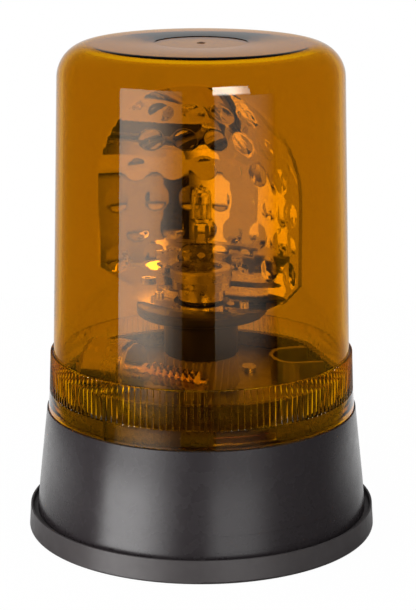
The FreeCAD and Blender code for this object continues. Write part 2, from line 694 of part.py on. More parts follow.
def add_ribs(body):
    """Grooves cut round the band of the dome, which leave the ribs between them."""
    top = sizes.dome_rib_radius - sizes.dome_rib_depth
    profile = outline_sketch(body, "GrooveProfile", [
        (sizes.dome_skirt_radius - sizes.dome_rib_depth, sizes.dome_rib_base),
        (sizes.dome_rim_radius, sizes.dome_rib_base),
        (sizes.dome_rim_radius, sizes.dome_rib_top + sizes.dome_rib_depth),
        (top, sizes.dome_rib_top + sizes.dome_rib_depth),
        (top, sizes.dome_rib_top)])
    groove = body.newObject("PartDesign::Groove", "Groove")
    groove.Profile = profile
    groove.ReferenceAxis = (profile, ["V_Axis"])
    groove.Midplane = True
    rib_angle = sizes.dome_rib_width / sizes.dome_rib_radius * (180 / math.pi)
    span = as_size(WHOLE_TURN) / sizes.dome_rib_count - rib_angle
    groove.Angle = span.value
    bind(groove, "Angle", span)
    body.Tip = groove
    around(body, "Grooves", [groove], sizes.dome_rib_count)


# ---- Chassis ----

def shaft_point(distance):
    """A point on the motor shaft's axis, this far along it from where it passes the wheel."""
    angle = math.radians(sizes.motor_angle.value)
    centre_distance = sizes.module.value * sizes.wheel_teeth.value / 2 + sizes.worm_pitch_radius.value
    along = Vector(math.cos(angle), math.sin(angle), 0)
    away = Vector(math.sin(angle), -math.cos(angle), 0)
    return away * centre_distance + along * distance + UP * sizes.motor_height.value


def shaft_place():
    """Local Z runs along the motor shaft, and local X points from it to the wheel's axis."""
    angle = math.radians(sizes.motor_angle.value)
    along = Vector(math.cos(angle), math.sin(angle), 0)
    towards = Vector(-math.sin(angle), math.cos(angle), 0)
    rotation = FreeCAD.Rotation(towards, along.cross(towards), along, "ZXY")
    return FreeCAD.Placement(shaft_point(0), rotation)


centre_distance = sizes.module * sizes.wheel_teeth / 2 + sizes.worm_pitch_radius
can_rear = sizes.can_front - sizes.can_length
strap_outer = sizes.can_radius + sizes.press_gap + sizes.strap_thickness
strap_screw = strap_outer + sizes.strap_foot / 2
thread_pitch = sizes.module * math.pi


def make_chassis_plate():
    body = new_body("chassis_plate")
    sketch = new_sketch(body, "PlateOutline", "XY_Plane", sizes.chassis_underside)
    add_circle(sketch, sizes.chassis_radius)
    add_circle(sketch, sizes.post_radius + sizes.press_gap)
    pad(body, "Plate", sketch, sizes.chassis_thickness)
    above = sizes.motor_height - chassis_top
    half_window = root(sizes.can_radius * sizes.can_radius - above * above) + sizes.window_side
    window = outline_sketch(body, "MotorWindowOutline", box_corners(
        can_rear - sizes.rear_cap - sizes.window_margin,
        sizes.can_front + sizes.front_cap + sizes.window_margin,
        -centre_distance - half_window, -centre_distance + half_window),
        "XY_Plane", chassis_top, sizes.motor_angle)
    pocket(body, "MotorWindow", window, sizes.chassis_thickness)
    for name, side in (("StrapHoleA", -1), ("StrapHoleB", 1)):
        hole = circle_sketch(body, name + "Circle", sizes.small_screw_radius + sizes.press_gap,
                             sizes.strap_place, strap_screw * side - centre_distance,
                             lift=chassis_top, turn=sizes.motor_angle)
        pocket(body, name, hole, sizes.chassis_thickness)
    for name, angle in (("RivetHoleA", sizes.rivet_angle),
                        ("RivetHoleB", sizes.rivet_angle + sizes.rivet_spread)):
        hole = circle_sketch(body, name + "Circle", sizes.rivet_radius + sizes.press_gap,
                             sizes.rivet_distance, 0, lift=chassis_top, turn=angle)
        pocket(body, name, hole, sizes.chassis_thickness)
    well_sketch = new_sketch(body, "WellOutline", "XY_Plane", chassis_top, well_turn)
    add_well(well_sketch)
    well = pad(body, "Well", well_sketch, sizes.well_height)
    hole = circle_sketch(body, "ScrewHoleCircle", sizes.screw_radius + sizes.screw_clearance,
                         sizes.well_distance, 0, lift=chassis_top, turn=well_turn)
    drilled = pocket(body, "ScrewHole", hole, sizes.chassis_thickness)
    around(body, "Wells", [well, drilled], sizes.well_count)


def add_well(sketch):
    """A U-shaped wall, round towards the axis and open towards the rim."""
    inner_radius = sizes.well_radius - sizes.well_wall
    middle = sizes.well_distance
    mouth = sizes.well_mouth
    legs = {}
    for radius in (sizes.well_radius, inner_radius):
        circle = Part.Circle(Vector(middle.value, 0, 0), UP, radius.value)
        arc = sketch.addGeometry(Part.ArcOfCircle(circle, math.pi / 2, math.pi * 3 / 2), False)
        place_point(sketch, arc, 3, middle, 0)
        number = sketch.addConstraint(Sketcher.Constraint("Radius", arc, radius.value))
        bind(sketch, "Constraints[%d]" % number, radius)
        for side, end in ((1, 1), (-1, 2)):
            start = Vector(middle.value, side * radius.value, 0)
            finish = Vector(mouth.value, side * radius.value, 0)
            leg = sketch.addGeometry(Part.LineSegment(start, finish), False)
            sketch.addConstraint(Sketcher.Constraint("Coincident", leg, 1, arc, end))
            sketch.addConstraint(Sketcher.Constraint("Horizontal", leg))
            number = sketch.addConstraint(Sketcher.Constraint("DistanceX", -1, 1, leg, 1,
                                                              middle.value))
            bind(sketch, "Constraints[%d]" % number, middle)
            number = sketch.addConstraint(Sketcher.Constraint("DistanceX", -1, 1, leg, 2,
                                                              mouth.value))
            bind(sketch, "Constraints[%d]" % number, mouth)
            legs[(radius is inner_radius, side)] = leg
    for side in (1, -1):
        tip = Part.LineSegment(Vector(mouth.value, side * sizes.well_radius.value, 0),
                               Vector(mouth.value, side * inner_radius.value, 0))
        end_line = sketch.addGeometry(tip, False)
        sketch.addConstraint(Sketcher.Constraint("Coincident", end_line, 1, legs[(False, side)], 2))
        sketch.addConstraint(Sketcher.Constraint("Coincident", end_line, 2, legs[(True, side)], 2))


def add_screw(body, name, distance, turn, seat, radius, head, head_height, length, along=0):
    """A pan-head screw with a cross, standing in a seat at this height."""
    shank = pad(body, name + "Shank", circle_sketch(body, name + "ShankCircle", radius, distance,
                                                    along, lift=seat - length, turn=turn),
                length + 0.2)
    top = pad(body, name + "Head", circle_sketch(body, name + "HeadCircle", head, distance,
                                                 along, lift=seat, turn=turn), head_height)
    half = sizes.cross_width / 2
    reach = head * 0.62
    crosses = []
    for bar, wide, deep in (("BarA", reach, half), ("BarB", half, reach)):
        corners = box_corners(distance - wide, distance + wide, along - deep, along + deep)
        slot = outline_sketch(body, name + bar + "Outline", corners, "XY_Plane",
                              seat + head_height, turn)
        crosses.append(pocket(body, name + bar, slot, sizes.cross_depth))
    return [shank, top] + crosses


def make_chassis_screws():
    body = new_body("chassis_screws")
    features = add_screw(body, "Screw", sizes.well_distance, well_turn, chassis_top,
                         sizes.screw_radius, sizes.screw_head, sizes.screw_head_height,
                         sizes.screw_length, as_size(0))
    around(body, "Screws", features, sizes.well_count)


def make_chassis_rivets():
    body = new_body("chassis_rivets")
    foot = sizes.chassis_underside - sizes.terminal_height
    for name, angle in (("RivetA", sizes.rivet_angle),
                        ("RivetB", sizes.rivet_angle + sizes.rivet_spread)):
        shank = circle_sketch(body, name + "ShankCircle", sizes.rivet_radius, sizes.rivet_distance, 0,
                              lift=foot - 1, turn=angle)
        pad(body, name + "Shank", shank, chassis_top - foot + 1.2)
        head = circle_sketch(body, name + "HeadCircle", sizes.rivet_head, sizes.rivet_distance, 0,
                             lift=chassis_top, turn=angle)
        pad(body, name + "Head", head, sizes.rivet_head_height)
        tail = circle_sketch(body, name + "TailCircle", sizes.rivet_head * 0.8, sizes.rivet_distance,
                             0, lift=foot - 1.2, turn=angle)
        pad(body, name + "Tail", tail, 1.2)


def make_terminal_block():
    body = new_body("terminal_block")
    middle = sizes.rivet_distance * cosine(sizes.rivet_spread / 2)
    half_length = sizes.terminal_length / 2
    half_width = sizes.terminal_width / 2
    foot = sizes.chassis_underside - sizes.terminal_height
    block = outline_sketch(body, "BlockOutline", box_corners(
        middle - half_width, middle + half_width, -half_length, half_length),
        "XY_Plane", foot, rivet_middle)
    pad(body, "Block", block, sizes.terminal_height)
    half_spread = sizes.rivet_distance * sine(sizes.rivet_spread / 2)
    for name, side in (("RivetHoleA", -1), ("RivetHoleB", 1)):
        hole = circle_sketch(body, name + "Circle", sizes.rivet_radius + sizes.press_gap, middle,
                             half_spread * side, lift=foot, turn=rivet_middle)
        pocket(body, name, hole, sizes.terminal_height, up=True)
    for name, side in (("ScrewSeatA", -0.5), ("ScrewSeatB", 0.5)):
        seat = circle_sketch(body, name + "Circle", sizes.terminal_screw + sizes.screw_clearance,
                             middle, sizes.terminal_pitch * side, lift=foot, turn=rivet_middle)
        pocket(body, name, seat, sizes.terminal_height * 0.6, up=True)
    entries = new_sketch(body, "WireEntryCircles", "YZ_Plane", middle, rivet_middle)
    for side in (-0.5, 0.5):
        add_circle(entries, sizes.terminal_entry, sizes.terminal_pitch * side,
                   foot + sizes.terminal_height * 0.7)
    pocket(body, "WireEntries", entries, sizes.terminal_width + 2, middle=True)


def make_terminal_screws():
    body = new_body("terminal_screws")
    middle = sizes.rivet_distance * cosine(sizes.rivet_spread / 2)
    foot = sizes.chassis_underside - sizes.terminal_height
    for name, side in (("ScrewA", -0.5), ("ScrewB", 0.5)):
        shank = circle_sketch(body, name + "Circle", sizes.terminal_screw, middle,
                              sizes.terminal_pitch * side, lift=foot + 1.5, turn=rivet_middle)
        pad(body, name, shank, sizes.terminal_height * 0.6 - 1.5)
        slot = outline_sketch(body, name + "SlotOutline", box_corners(
            middle - sizes.terminal_screw, middle + sizes.terminal_screw,
            sizes.terminal_pitch * side - 0.35, sizes.terminal_pitch * side + 0.35),
            "XY_Plane", foot + 1.5, rivet_middle)
        pocket(body, name + "Slot", slot, 0.8, up=True)



# ---- Centre post and lamp ----

clip_base = sizes.flange_top + 0.3
cup_inner = sizes.cup_radius - sizes.cup_wall
cup_floor_top = sizes.cup_base + sizes.cup_floor
ring_inner = sizes.cup_radius + 0.1
ring_lip = bulb_flange_top + 0.4


def make_centre_post():
    body = new_body("centre_post")
    flange_base = sizes.chassis_underside - sizes.post_flange
    groove = sizes.post_radius - sizes.clip_groove
    revolve(body, "Post", [
        (sizes.post_bore, flange_base),
        (sizes.post_flange_radius, flange_base),
        (sizes.post_flange_radius, sizes.chassis_underside),
        (sizes.post_radius, sizes.chassis_underside),
        (sizes.post_radius, clip_base - 0.05),
        (groove, clip_base - 0.05),
        (groove, clip_base + sizes.clip_thickness + 0.05),
        (sizes.post_radius, clip_base + sizes.clip_thickness + 0.05),
        (sizes.post_radius, sizes.cup_base),
        (sizes.spigot_radius, sizes.cup_base),
        (sizes.spigot_radius, cup_floor_top),
        (sizes.post_bore, cup_floor_top)])


def make_thrust_washer():
    body = new_body("thrust_washer")
    revolve(body, "Washer", box_corners(sizes.post_radius + 0.1, sizes.washer_radius,
                                        chassis_top, washer_top))


def make_retaining_clip():
    body = new_body("retaining_clip")
    inner = sizes.post_radius - sizes.clip_groove + 0.02
    revolve(body, "Clip", box_corners(inner, sizes.clip_radius,
                                      clip_base, clip_base + sizes.clip_thickness))
    half = sizes.clip_mouth / 2
    mouth = outline_sketch(body, "MouthOutline", box_corners(
        -half, half, sizes.spigot_radius * 0.5, sizes.clip_radius + 1), "XY_Plane",
        clip_base + sizes.clip_thickness)
    pocket(body, "Mouth", mouth, sizes.clip_thickness)


def make_lamp_cup():
    body = new_body("lamp_cup")
    revolve(body, "Cup", [
        (sizes.spigot_radius + sizes.press_gap, sizes.cup_base),
        (sizes.cup_radius - 1, sizes.cup_base),
        (sizes.cup_radius, sizes.cup_base + 1),
        (sizes.cup_radius, cup_top),
        (cup_inner, cup_top),
        (cup_inner, cup_floor_top),
        (sizes.spigot_radius + sizes.press_gap, cup_floor_top)])
    pin_sketch = circle_sketch(body, "PinCircle", sizes.pin_radius, 0, sizes.pin_height,
                               "YZ_Plane", cup_inner + 0.5, sizes.pin_angle)
    pin = pad(body, "Pin", pin_sketch, sizes.cup_wall - 0.5 + sizes.pin_reach)
    around(body, "Pins", [pin], 2)


def make_lamp_ring():
    body = new_body("lamp_ring")
    edge = 0.4
    revolve(body, "Ring", [
        (ring_inner, sizes.ring_base),
        (sizes.ring_neck, sizes.ring_base),
        (sizes.ring_neck, sizes.ring_band),
        (sizes.ring_radius, sizes.ring_band + edge),
        (sizes.ring_radius, sizes.ring_top - edge),
        (sizes.ring_radius - edge, sizes.ring_top),
        (sizes.ring_opening, sizes.ring_top),
        (sizes.ring_opening, ring_lip),
        (ring_inner, ring_lip)])
    slot_half = sizes.pin_radius + sizes.screw_clearance
    pin_span = slot_half / ring_inner * (360 / math.pi)
    slot_middle = sizes.pin_angle - sizes.ring_turn / 2
    slot_sketch = sector_sketch(body, "SlotSector", sizes.cup_radius - 0.5, sizes.ring_radius + 0.5,
                                sizes.ring_turn + pin_span, sizes.pin_height + slot_half, slot_middle)
    slot = pocket(body, "Slot", slot_sketch, slot_half * 2)
    entry_sketch = sector_sketch(body, "EntrySector", sizes.cup_radius - 0.5,
                                 sizes.ring_radius + 0.5, pin_span, sizes.pin_height,
                                 sizes.pin_angle - sizes.ring_turn)
    entry = pocket(body, "Entry", entry_sketch, sizes.pin_height - sizes.ring_base)
    around(body, "Slots", [slot, entry], 2)


def make_lamp_insulator():
    body = new_body("lamp_insulator")
    sketch = new_sketch(body, "DiscOutline", "XY_Plane", cup_floor_top)
    add_circle(sketch, cup_inner - 0.1)
    for side in (-0.5, 0.5):
        add_circle(sketch, 0.8, sizes.contact_width * side, 0)
    pad(body, "Disc", sketch, sizes.insulator_thickness)


def make_lamp_contact():
    body = new_body("lamp_contact")
    seat = cup_floor_top + sizes.insulator_thickness
    reach = cup_top - seat - 2.6
    half = sizes.contact_width / 2
    leaf = outline_sketch(body, "LeafOutline", [
        (-half, seat),
        (half, seat),
        (half, seat + sizes.contact_thickness),
        (-half + sizes.contact_thickness, seat + sizes.contact_thickness),
        (-half + sizes.contact_thickness, seat + reach - sizes.contact_thickness),
        (half, seat + reach - sizes.contact_thickness),
        (half, seat + reach),
        (-half, seat + reach)], "XZ_Plane")
    pad(body, "Leaf", leaf, sizes.contact_width, middle=True)


def make_bulb_base():
    body = new_body("bulb_base")
    pad(body, "Flange", circle_sketch(body, "FlangeCircle", sizes.bulb_flange_radius, lift=cup_top),
        sizes.bulb_flange)
    pad(body, "Stub", circle_sketch(body, "StubCircle", sizes.holder_half_width * 0.9,
                                    lift=cup_top), 2.4, down=True)
    wide = sizes.holder_half_width
    deep = sizes.holder_half_depth
    holder = outline_sketch(body, "HolderOutline", box_corners(-wide, wide, -deep, deep),
                            "XY_Plane", bulb_flange_top)
    pad(body, "Holder", holder, sizes.holder_top - bulb_flange_top)
    wall = sizes.holder_wall
    hollow = outline_sketch(body, "HollowOutline", box_corners(
        -wide + wall, wide - wall, -deep + wall, deep - wall), "XY_Plane", sizes.holder_top)
    pocket(body, "Hollow", hollow, sizes.holder_top - sizes.pinch_base + 0.3)
    hole = circle_sketch(body, "HoleCircle", sizes.holder_hole, 0, sizes.holder_hole_height,
                         "XZ_Plane")
    pocket(body, "Hole", hole, deep * 2 + 2, middle=True)


def make_bulb_capsule():
    body = new_body("bulb_capsule")
    outer = sizes.capsule_radius
    inner = sizes.capsule_radius - sizes.capsule_wall
    cavity_base = sizes.capsule_base + sizes.capsule_wall * 2
    cavity_top = sizes.capsule_top - sizes.capsule_wall
    revolve(body, "Capsule", [
        (0, sizes.capsule_base),
        (outer - 1.2, sizes.capsule_base),
        (outer, sizes.capsule_base + 1.6),
        (outer, sizes.capsule_top),
        (0, sizes.capsule_top),
        (0, cavity_top),
        (inner * 0.4, cavity_top),
        (inner * 0.85, cavity_top - inner * 0.35),
        (inner, cavity_top - inner * 0.8),
        (inner, cavity_base),
        (0, cavity_base)])
    fillet(body, "Crown", [(outer, sizes.capsule_top)], outer * 0.75)
    revolve(body, "Tip", [
        (0, sizes.capsule_top - 0.2),
        (outer * 0.22, sizes.capsule_top - 0.2),
        (outer * 0.1, sizes.capsule_top + sizes.capsule_tip),
        (0, sizes.capsule_top + sizes.capsule_tip)])
    wide = sizes.pinch_half_width
    deep = sizes.pinch_half_depth
    pinch = outline_sketch(body, "PinchOutline", box_corners(-wide, wide, -deep, deep),
                           "XY_Plane", sizes.pinch_base)
    pad(body, "Pinch", pinch, sizes.pinch_top - sizes.pinch_base)


def make_bulb_filament():
    body = new_body("bulb_filament")
    lead = sizes.filament_radius * 0.4
    base = sizes.pinch_top + 0.45
    top = sizes.filament_base + sizes.filament_length
    side = sizes.capsule_radius * 0.5
    pad(body, "Coil", circle_sketch(body, "CoilCircle", sizes.filament_radius,
                                    lift=sizes.filament_base), sizes.filament_length)
    leads = outline_sketch(body, "LeadOutline", [
        (-lead, base),
        (lead, base),
        (lead, top),
        (side - lead, top),
        (side - lead, base),
        (side + lead, base),
        (side + lead, top + lead * 2),
        (-lead, top + lead * 2)], "XZ_Plane")
    pad(body, "Leads", leads, lead * 2, middle=True)


# ---- Rotor ----

def make_carrier():
    body = new_body("carrier")
    revolve(body, "Column", [
        (sizes.hub_radius, sizes.wheel_base + 0.2),
        (sizes.spigot_outer, sizes.wheel_base + 0.2),
        (sizes.spigot_outer, sizes.column_base),
        (sizes.column_radius, sizes.column_base),
        (sizes.column_radius, sizes.flange_base),
        (sizes.flange_radius, sizes.flange_base),
        (sizes.flange_radius, sizes.flange_top),
        (sizes.hub_radius, sizes.flange_top)])
    fillet(body, "Flare", [(sizes.column_radius, sizes.flange_base)], sizes.flange_flare)
    fillet(body, "LowerEdge", [(sizes.flange_radius, sizes.flange_base)], sizes.flange_under_edge)
    fillet(body, "UpperEdge", [(sizes.flange_radius, sizes.flange_top)], sizes.flange_edge)
    hole_sketch = circle_sketch(body, "ScrewHoleCircle", sizes.small_screw_radius + sizes.press_gap,
                                sizes.clamp_point, 0, lift=sizes.flange_top)
    hole = pocket(body, "ScrewHole", hole_sketch, sizes.small_screw_length)
    around(body, "ScrewHoles", [hole], 2)
    body.Placement = rotor_place


def make_bushes():
    bore = sizes.post_radius + sizes.bush_bore_gap
    outer = sizes.hub_radius - sizes.press_gap
    lower = new_body("lower_bush")
    seat = sizes.wheel_base + 0.2
    revolve(lower, "Bush", [
        (bore, seat - sizes.bush_flange),
        (outer + 1.4, seat - sizes.bush_flange),
        (outer + 1.4, seat),
        (outer, seat),
        (outer, seat + sizes.bush_length),
        (bore, seat + sizes.bush_length)])
    upper = new_body("upper_bush")
    revolve(upper, "Bush", box_corners(bore, outer, sizes.flange_top - sizes.bush_length,
                                       sizes.flange_top))
    for body in (lower, upper):
        body.Placement = rotor_place


def wheel_section(height, turn):
    """The outline of the toothed rim at one height: root, flank, tip and flank of each tooth."""
    module = sizes.module.value
    teeth = int(sizes.wheel_teeth.value)
    pitch_radius = module * teeth / 2
    half_tooth = module * math.pi / 4 - sizes.backlash.value / 4
    slope = math.tan(math.radians(20))
    tip = pitch_radius + module
    root = pitch_radius - module * 1.25
    half_tip = (half_tooth - module * slope) / tip
    half_root = (half_tooth + module * 1.25 * slope) / root
    points = []
    for tooth in range(teeth):
        middle = turn + 2 * math.pi * tooth / teeth
        for radius, offset in ((root, -half_root), (tip, -half_tip), (tip, half_tip),
                               (root, half_root)):
            angle = middle + offset
            points.append(Vector(radius * math.cos(angle), radius * math.sin(angle), height))
    return Part.makePolygon(points + points[:1])


def make_worm_wheel():
    """A helical wheel with a gap between two teeth where the worm's thread meets it."""
    teeth = sizes.wheel_teeth.value
    width = sizes.wheel_width.value
    base = sizes.wheel_base.value
    pitch_radius = sizes.module.value * teeth / 2
    lead = thread_pitch.value / (2 * math.pi * sizes.worm_pitch_radius.value)
    facing = math.radians(sizes.motor_angle.value - 90 - sizes.rest_angle.value)
    gap_middle = facing + math.pi / teeth
    sections = []
    for share in (0.0, 0.5, 1.0):
        height = base + width * share
        twist = (height - sizes.motor_height.value) * lead / pitch_radius
        sections.append(wheel_section(height, gap_middle + twist))
    rim = Part.makeLoft(sections, True, True)
    bore = Part.makeCylinder(sizes.spigot_outer.value + sizes.press_gap.value, width + 2,
                             Vector(0, 0, base - 1))
    shaped_piece("worm_wheel", rim.cut(bore), rotor_place)


def parabola_face(radius, depth, mouth, height, half):
    """The plan of the bowl, or its right half, from the mouth back to the vertex."""
    curve = Part.Parabola()
    curve.Focal = radius * radius / (4 * depth)
    curve.Location = Vector(0, depth - mouth, height)
    curve.XAxis = Vector(0, -1, 0)
    start = 0 if half else -radius
    bow = curve.toShape(start, radius).toNurbs().Edges[0]
    first = bow.valueAt(start)
    last = bow.valueAt(radius)
    if half:
        middle = Vector(0, -mouth, height)
        sides = [Part.makeLine(last, middle), Part.makeLine(middle, first)]
    else:
        sides = [Part.makeLine(last, first)]
    return Part.Face(Part.Wire([bow] + sides))


def bowl_solid(radius, depth, mouth, base, corner):
    """Half a paraboloid over the optical axis, drawn straight down under it to a flat foot."""
    height = sizes.reflector_axis.value
    half = parabola_face(radius, depth, mouth, height, True)
    dome_half = half.revolve(Vector(0, 0, height), Vector(0, -1, 0), 180)
    plan = parabola_face(radius, depth, mouth, height, False)
    trough = plan.extrude(Vector(0, 0, base - height))
    front = Part.makePolygon([Vector(across, -mouth - 1, up) for across, up in (
        (-radius - 1, height), (radius + 1, height), (radius + 1, base + corner + 1),
        (radius - corner, base), (-radius + corner, base), (-radius - 1, base + corner + 1),
        (-radius - 1, height))])
    prism = Part.Face(front).extrude(Vector(0, depth + mouth + 2, 0))
    return dome_half.fuse(trough.common(prism)).removeSplitter()


def make_reflector():
    """A bowl with a flat foot that carries it on the flange and clears the lamp cup."""
    wall = sizes.reflector_wall.value
    inner_radius = sizes.reflector_radius.value
    mouth = sizes.reflector_front.value
    depth = sizes.reflector_depth.value
    base = sizes.flange_top.value
    foot_top = base + sizes.reflector_foot.value
    corner = sizes.reflector_corner.value
    outer = bowl_solid(inner_radius + wall, depth + wall, mouth, base, corner + 1.0)
    inner = bowl_solid(inner_radius, depth, mouth, foot_top, corner)
    bowl = outer.cut(inner)
    front_radius = sizes.reflector_apron_curve.value
    front_centre = Vector(0, front_radius - sizes.reflector_apron.value, base)
    disc = Part.makeCylinder(front_radius, foot_top - base, front_centre)
    strip = Part.makeBox(inner_radius * 2, front_radius, foot_top - base,
                         Vector(-inner_radius, -mouth - front_radius, base))
    shape = bowl.fuse(disc.common(strip))
    hole = Part.makeCylinder(sizes.reflector_hole.value, 4, Vector(0, 0, base - 1))
    shape = shape.cut(hole)
    screw_gap = sizes.small_screw_radius.value + sizes.screw_clearance.value
    for side in (-1, 1):
        centre = Vector(side * sizes.clamp_point.value, 0, base - 1)
        shape = shape.cut(Part.makeCylinder(screw_gap, 4, centre))
    shaped_piece("reflector", shape.removeSplitter(), rotor_place)


def make_reflector_screws():
    body = new_body("reflector_screws")
    features = add_screw(body, "Screw", sizes.clamp_point, as_size(0),
                         sizes.flange_top + sizes.reflector_foot, sizes.small_screw_radius,
                         sizes.small_screw_head, sizes.small_screw_head_height,
                         sizes.small_screw_length, as_size(0))
    around(body, "Screws", features, 2)
    body.Placement = rotor_place


# ---- Motor and worm ----

def make_worm():
    """A single right-hand thread on a core with a boss towards the motor."""
    body = new_body("worm")
    tooth = sizes.module
    root = sizes.worm_pitch_radius - tooth * 1.25
    tip = sizes.worm_pitch_radius + tooth
    slope = math.tan(math.radians(20))
    half_thread = thread_pitch / 4 - sizes.backlash / 4
    thread_start = -(thread_pitch * sizes.worm_turns / 2)
    core_end = tooth * 1.6 - thread_start
    boss_start = -core_end - sizes.worm_boss_radius * 0.3
    revolve(body, "Core", [
        (sizes.shaft_radius + sizes.press_gap, sizes.worm_boss_end),
        (sizes.worm_boss_radius, sizes.worm_boss_end),
        (sizes.worm_boss_radius, boss_start),
        (root, -core_end),
        (root, core_end),
        (sizes.shaft_radius + sizes.press_gap, core_end)])
    sunk = root - 0.1
    profile = outline_sketch(body, "ThreadProfile", [
        (sunk, thread_start - half_thread - (tooth * 1.25 + 0.1) * slope),
        (tip, thread_start - half_thread + tooth * slope),
        (tip, thread_start + half_thread - tooth * slope),
        (sunk, thread_start + half_thread + (tooth * 1.25 + 0.1) * slope)])
    thread = body.newObject("PartDesign::AdditiveHelix", "Thread")
    thread.Profile = profile
    thread.ReferenceAxis = (profile, ["V_Axis"])
    thread.Mode = 0
    thread.Pitch = thread_pitch.value
    thread.Height = (thread_pitch * sizes.worm_turns).value
    bind(thread, "Pitch", thread_pitch)
    bind(thread, "Height", thread_pitch * sizes.worm_turns)
    body.Tip = thread
    body.Placement = shaft_place()


def make_motor_shaft():
    body = new_body("motor_shaft")
    rear = can_rear - sizes.rear_cap * 0.8
    pad(body, "Shaft", circle_sketch(body, "ShaftCircle", sizes.shaft_radius, lift=rear),
        sizes.shaft_tip - rear)
    body.Placement = shaft_place()


def make_motor_can():
    body = new_body("motor_can")
    bore = sizes.shaft_radius + sizes.shaft_gap
    edge = 0.8
    revolve(body, "Can", [
        (bore, can_rear),
        (sizes.can_radius, can_rear),
        (sizes.can_radius, sizes.can_front - edge),
        (sizes.can_radius - edge, sizes.can_front),
        (bore, sizes.can_front)])
    body.Placement = shaft_place()


def make_motor_caps():
    bore = sizes.shaft_radius + sizes.shaft_gap
    front = new_body("motor_front_cap")
    front_face = sizes.can_front + sizes.front_cap
    revolve(front, "Cap", [
        (bore, sizes.can_front),
        (sizes.front_cap_radius, sizes.can_front),
        (sizes.front_cap_radius, front_face),
        (sizes.bearing_radius, front_face),
        (sizes.bearing_radius, sizes.worm_boss_end - 0.2),
        (bore, sizes.worm_boss_end - 0.2)])
    rear = new_body("motor_rear_cap")
    rear_face = can_rear - sizes.rear_cap
    revolve(rear, "Cap", [
        (0, rear_face),
        (sizes.can_radius - 1.4, rear_face),
        (sizes.can_radius - 0.4, rear_face + 1),
        (sizes.can_radius - 0.4, can_rear),
        (bore, can_rear),
        (bore, can_rear - sizes.rear_cap * 0.85),
        (0, can_rear - sizes.rear_cap * 0.85)])
    tags = new_body("motor_terminals")
    sketch = new_sketch(tags, "TagOutlines", "XY_Plane", rear_face)
    half_thick = sizes.tag_thickness / 2
    half_wide = sizes.tag_width / 2
    for side in (-0.5, 0.5):
        middle = sizes.tag_spacing * side
        add_outline(sketch, box_corners(middle - half_thick, middle + half_thick,
                                        -half_wide, half_wide))
    pad(tags, "Tags", sketch, sizes.tag_length, down=True)
    for body in (front, rear, tags):
        body.Placement = shaft_place()


def make_motor_clamp():
    """A strap over the motor with a screwed foot on each side."""
    body = new_body("motor_clamp")
    inner = sizes.can_radius + sizes.press_gap
    floor = chassis_top - sizes.motor_height
    lift = sizes.strap_place - sizes.strap_width / 2
    pad(body, "Band", circle_sketch(body, "BandCircle", strap_outer, lift=lift), sizes.strap_width)
    top = lift + sizes.strap_width
    pocket(body, "Inside", circle_sketch(body, "InsideCircle", inner, lift=top), sizes.strap_width)
    below = outline_sketch(body, "BelowOutline", box_corners(
        -strap_outer - 1, strap_outer + 1, -strap_outer - 1, 0), "XY_Plane", top)
    pocket(body, "Below", below, sizes.strap_width)
    legs = new_sketch(body, "LegOutlines", "XY_Plane", lift)
    reach = strap_outer + sizes.strap_foot
    foot_top = floor + sizes.strap_thickness
    for side in (-1, 1):
        add_outline(legs, [
            (inner * side, 0),
            (inner * side, floor),
            (reach * side, floor),
            (reach * side, foot_top),
            (strap_outer * side, foot_top),
            (strap_outer * side, 0)])
    pad(body, "Legs", legs, sizes.strap_width)
    holes = new_sketch(body, "HoleCircles", "XZ_Plane", 0)
    for side in (-1, 1):
        add_circle(holes, sizes.small_screw_radius + sizes.screw_clearance, strap_screw * side,
                   sizes.strap_place)
    pocket(body, "Holes", holes, sizes.motor_height, middle=True)
    body.Placement = shaft_place()


def make_motor_clamp_screws():
    body = new_body("motor_clamp_screws")
    for name, side in (("ScrewA", -1), ("ScrewB", 1)):
        add_screw(body, name, sizes.strap_place, sizes.motor_angle,
                  chassis_top + sizes.strap_thickness, sizes.small_screw_radius,
                  sizes.small_screw_head, sizes.small_screw_head_height,
                  sizes.small_screw_length, strap_screw * side - centre_distance)


make_base_gasket()
make_base_housing()
make_mounting_inserts()
make_cable_grommet()
make_dome_seal()
make_dome()
make_chassis_plate()
make_chassis_screws()
make_chassis_rivets()
make_terminal_block()
make_terminal_screws()
make_centre_post()
make_thrust_washer()
make_retaining_clip()
make_lamp_cup()
make_lamp_ring()
make_lamp_insulator()
make_lamp_contact()
make_bulb_base()
make_bulb_capsule()
make_bulb_filament()
make_carrier()
make_bushes()
make_worm_wheel()
make_reflector()
make_reflector_screws()
make_worm()
make_motor_shaft()
make_motor_can()
make_motor_caps()
make_motor_clamp()
make_motor_clamp_screws()

document.recompute()
for item in document.Objects:
    if "Invalid" in item.State or "Error" in item.State:
        raise RuntimeError("%s did not build: %s" % (item.Label, item.State))
os.makedirs("parts", exist_ok=True)
for piece in pieces:
    shape = piece.Shape
    if shape.isNull() or not shape.isValid() or not shape.Solids:
        raise RuntimeError("%s has no valid solid" % piece.Label)
    shape.exportStep(os.path.join("parts", piece.Label + ".step"))
    box = shape.BoundBox
    print("%-18s solids %2d  volume %10.1f  z %.2f to %.2f  x %.2f to %.2f  y %.2f to %.2f" % (
        piece.Label, len(shape.Solids), shape.Volume, box.ZMin, box.ZMax, box.XMin, box.XMax,
        box.YMin, box.YMax))
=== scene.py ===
# Rotating beacon: an amber dome on a black base, with a lamp, a turning reflector and its drive.
import json
import math

import bmesh
import bpy
from mathutils import Matrix, Vector

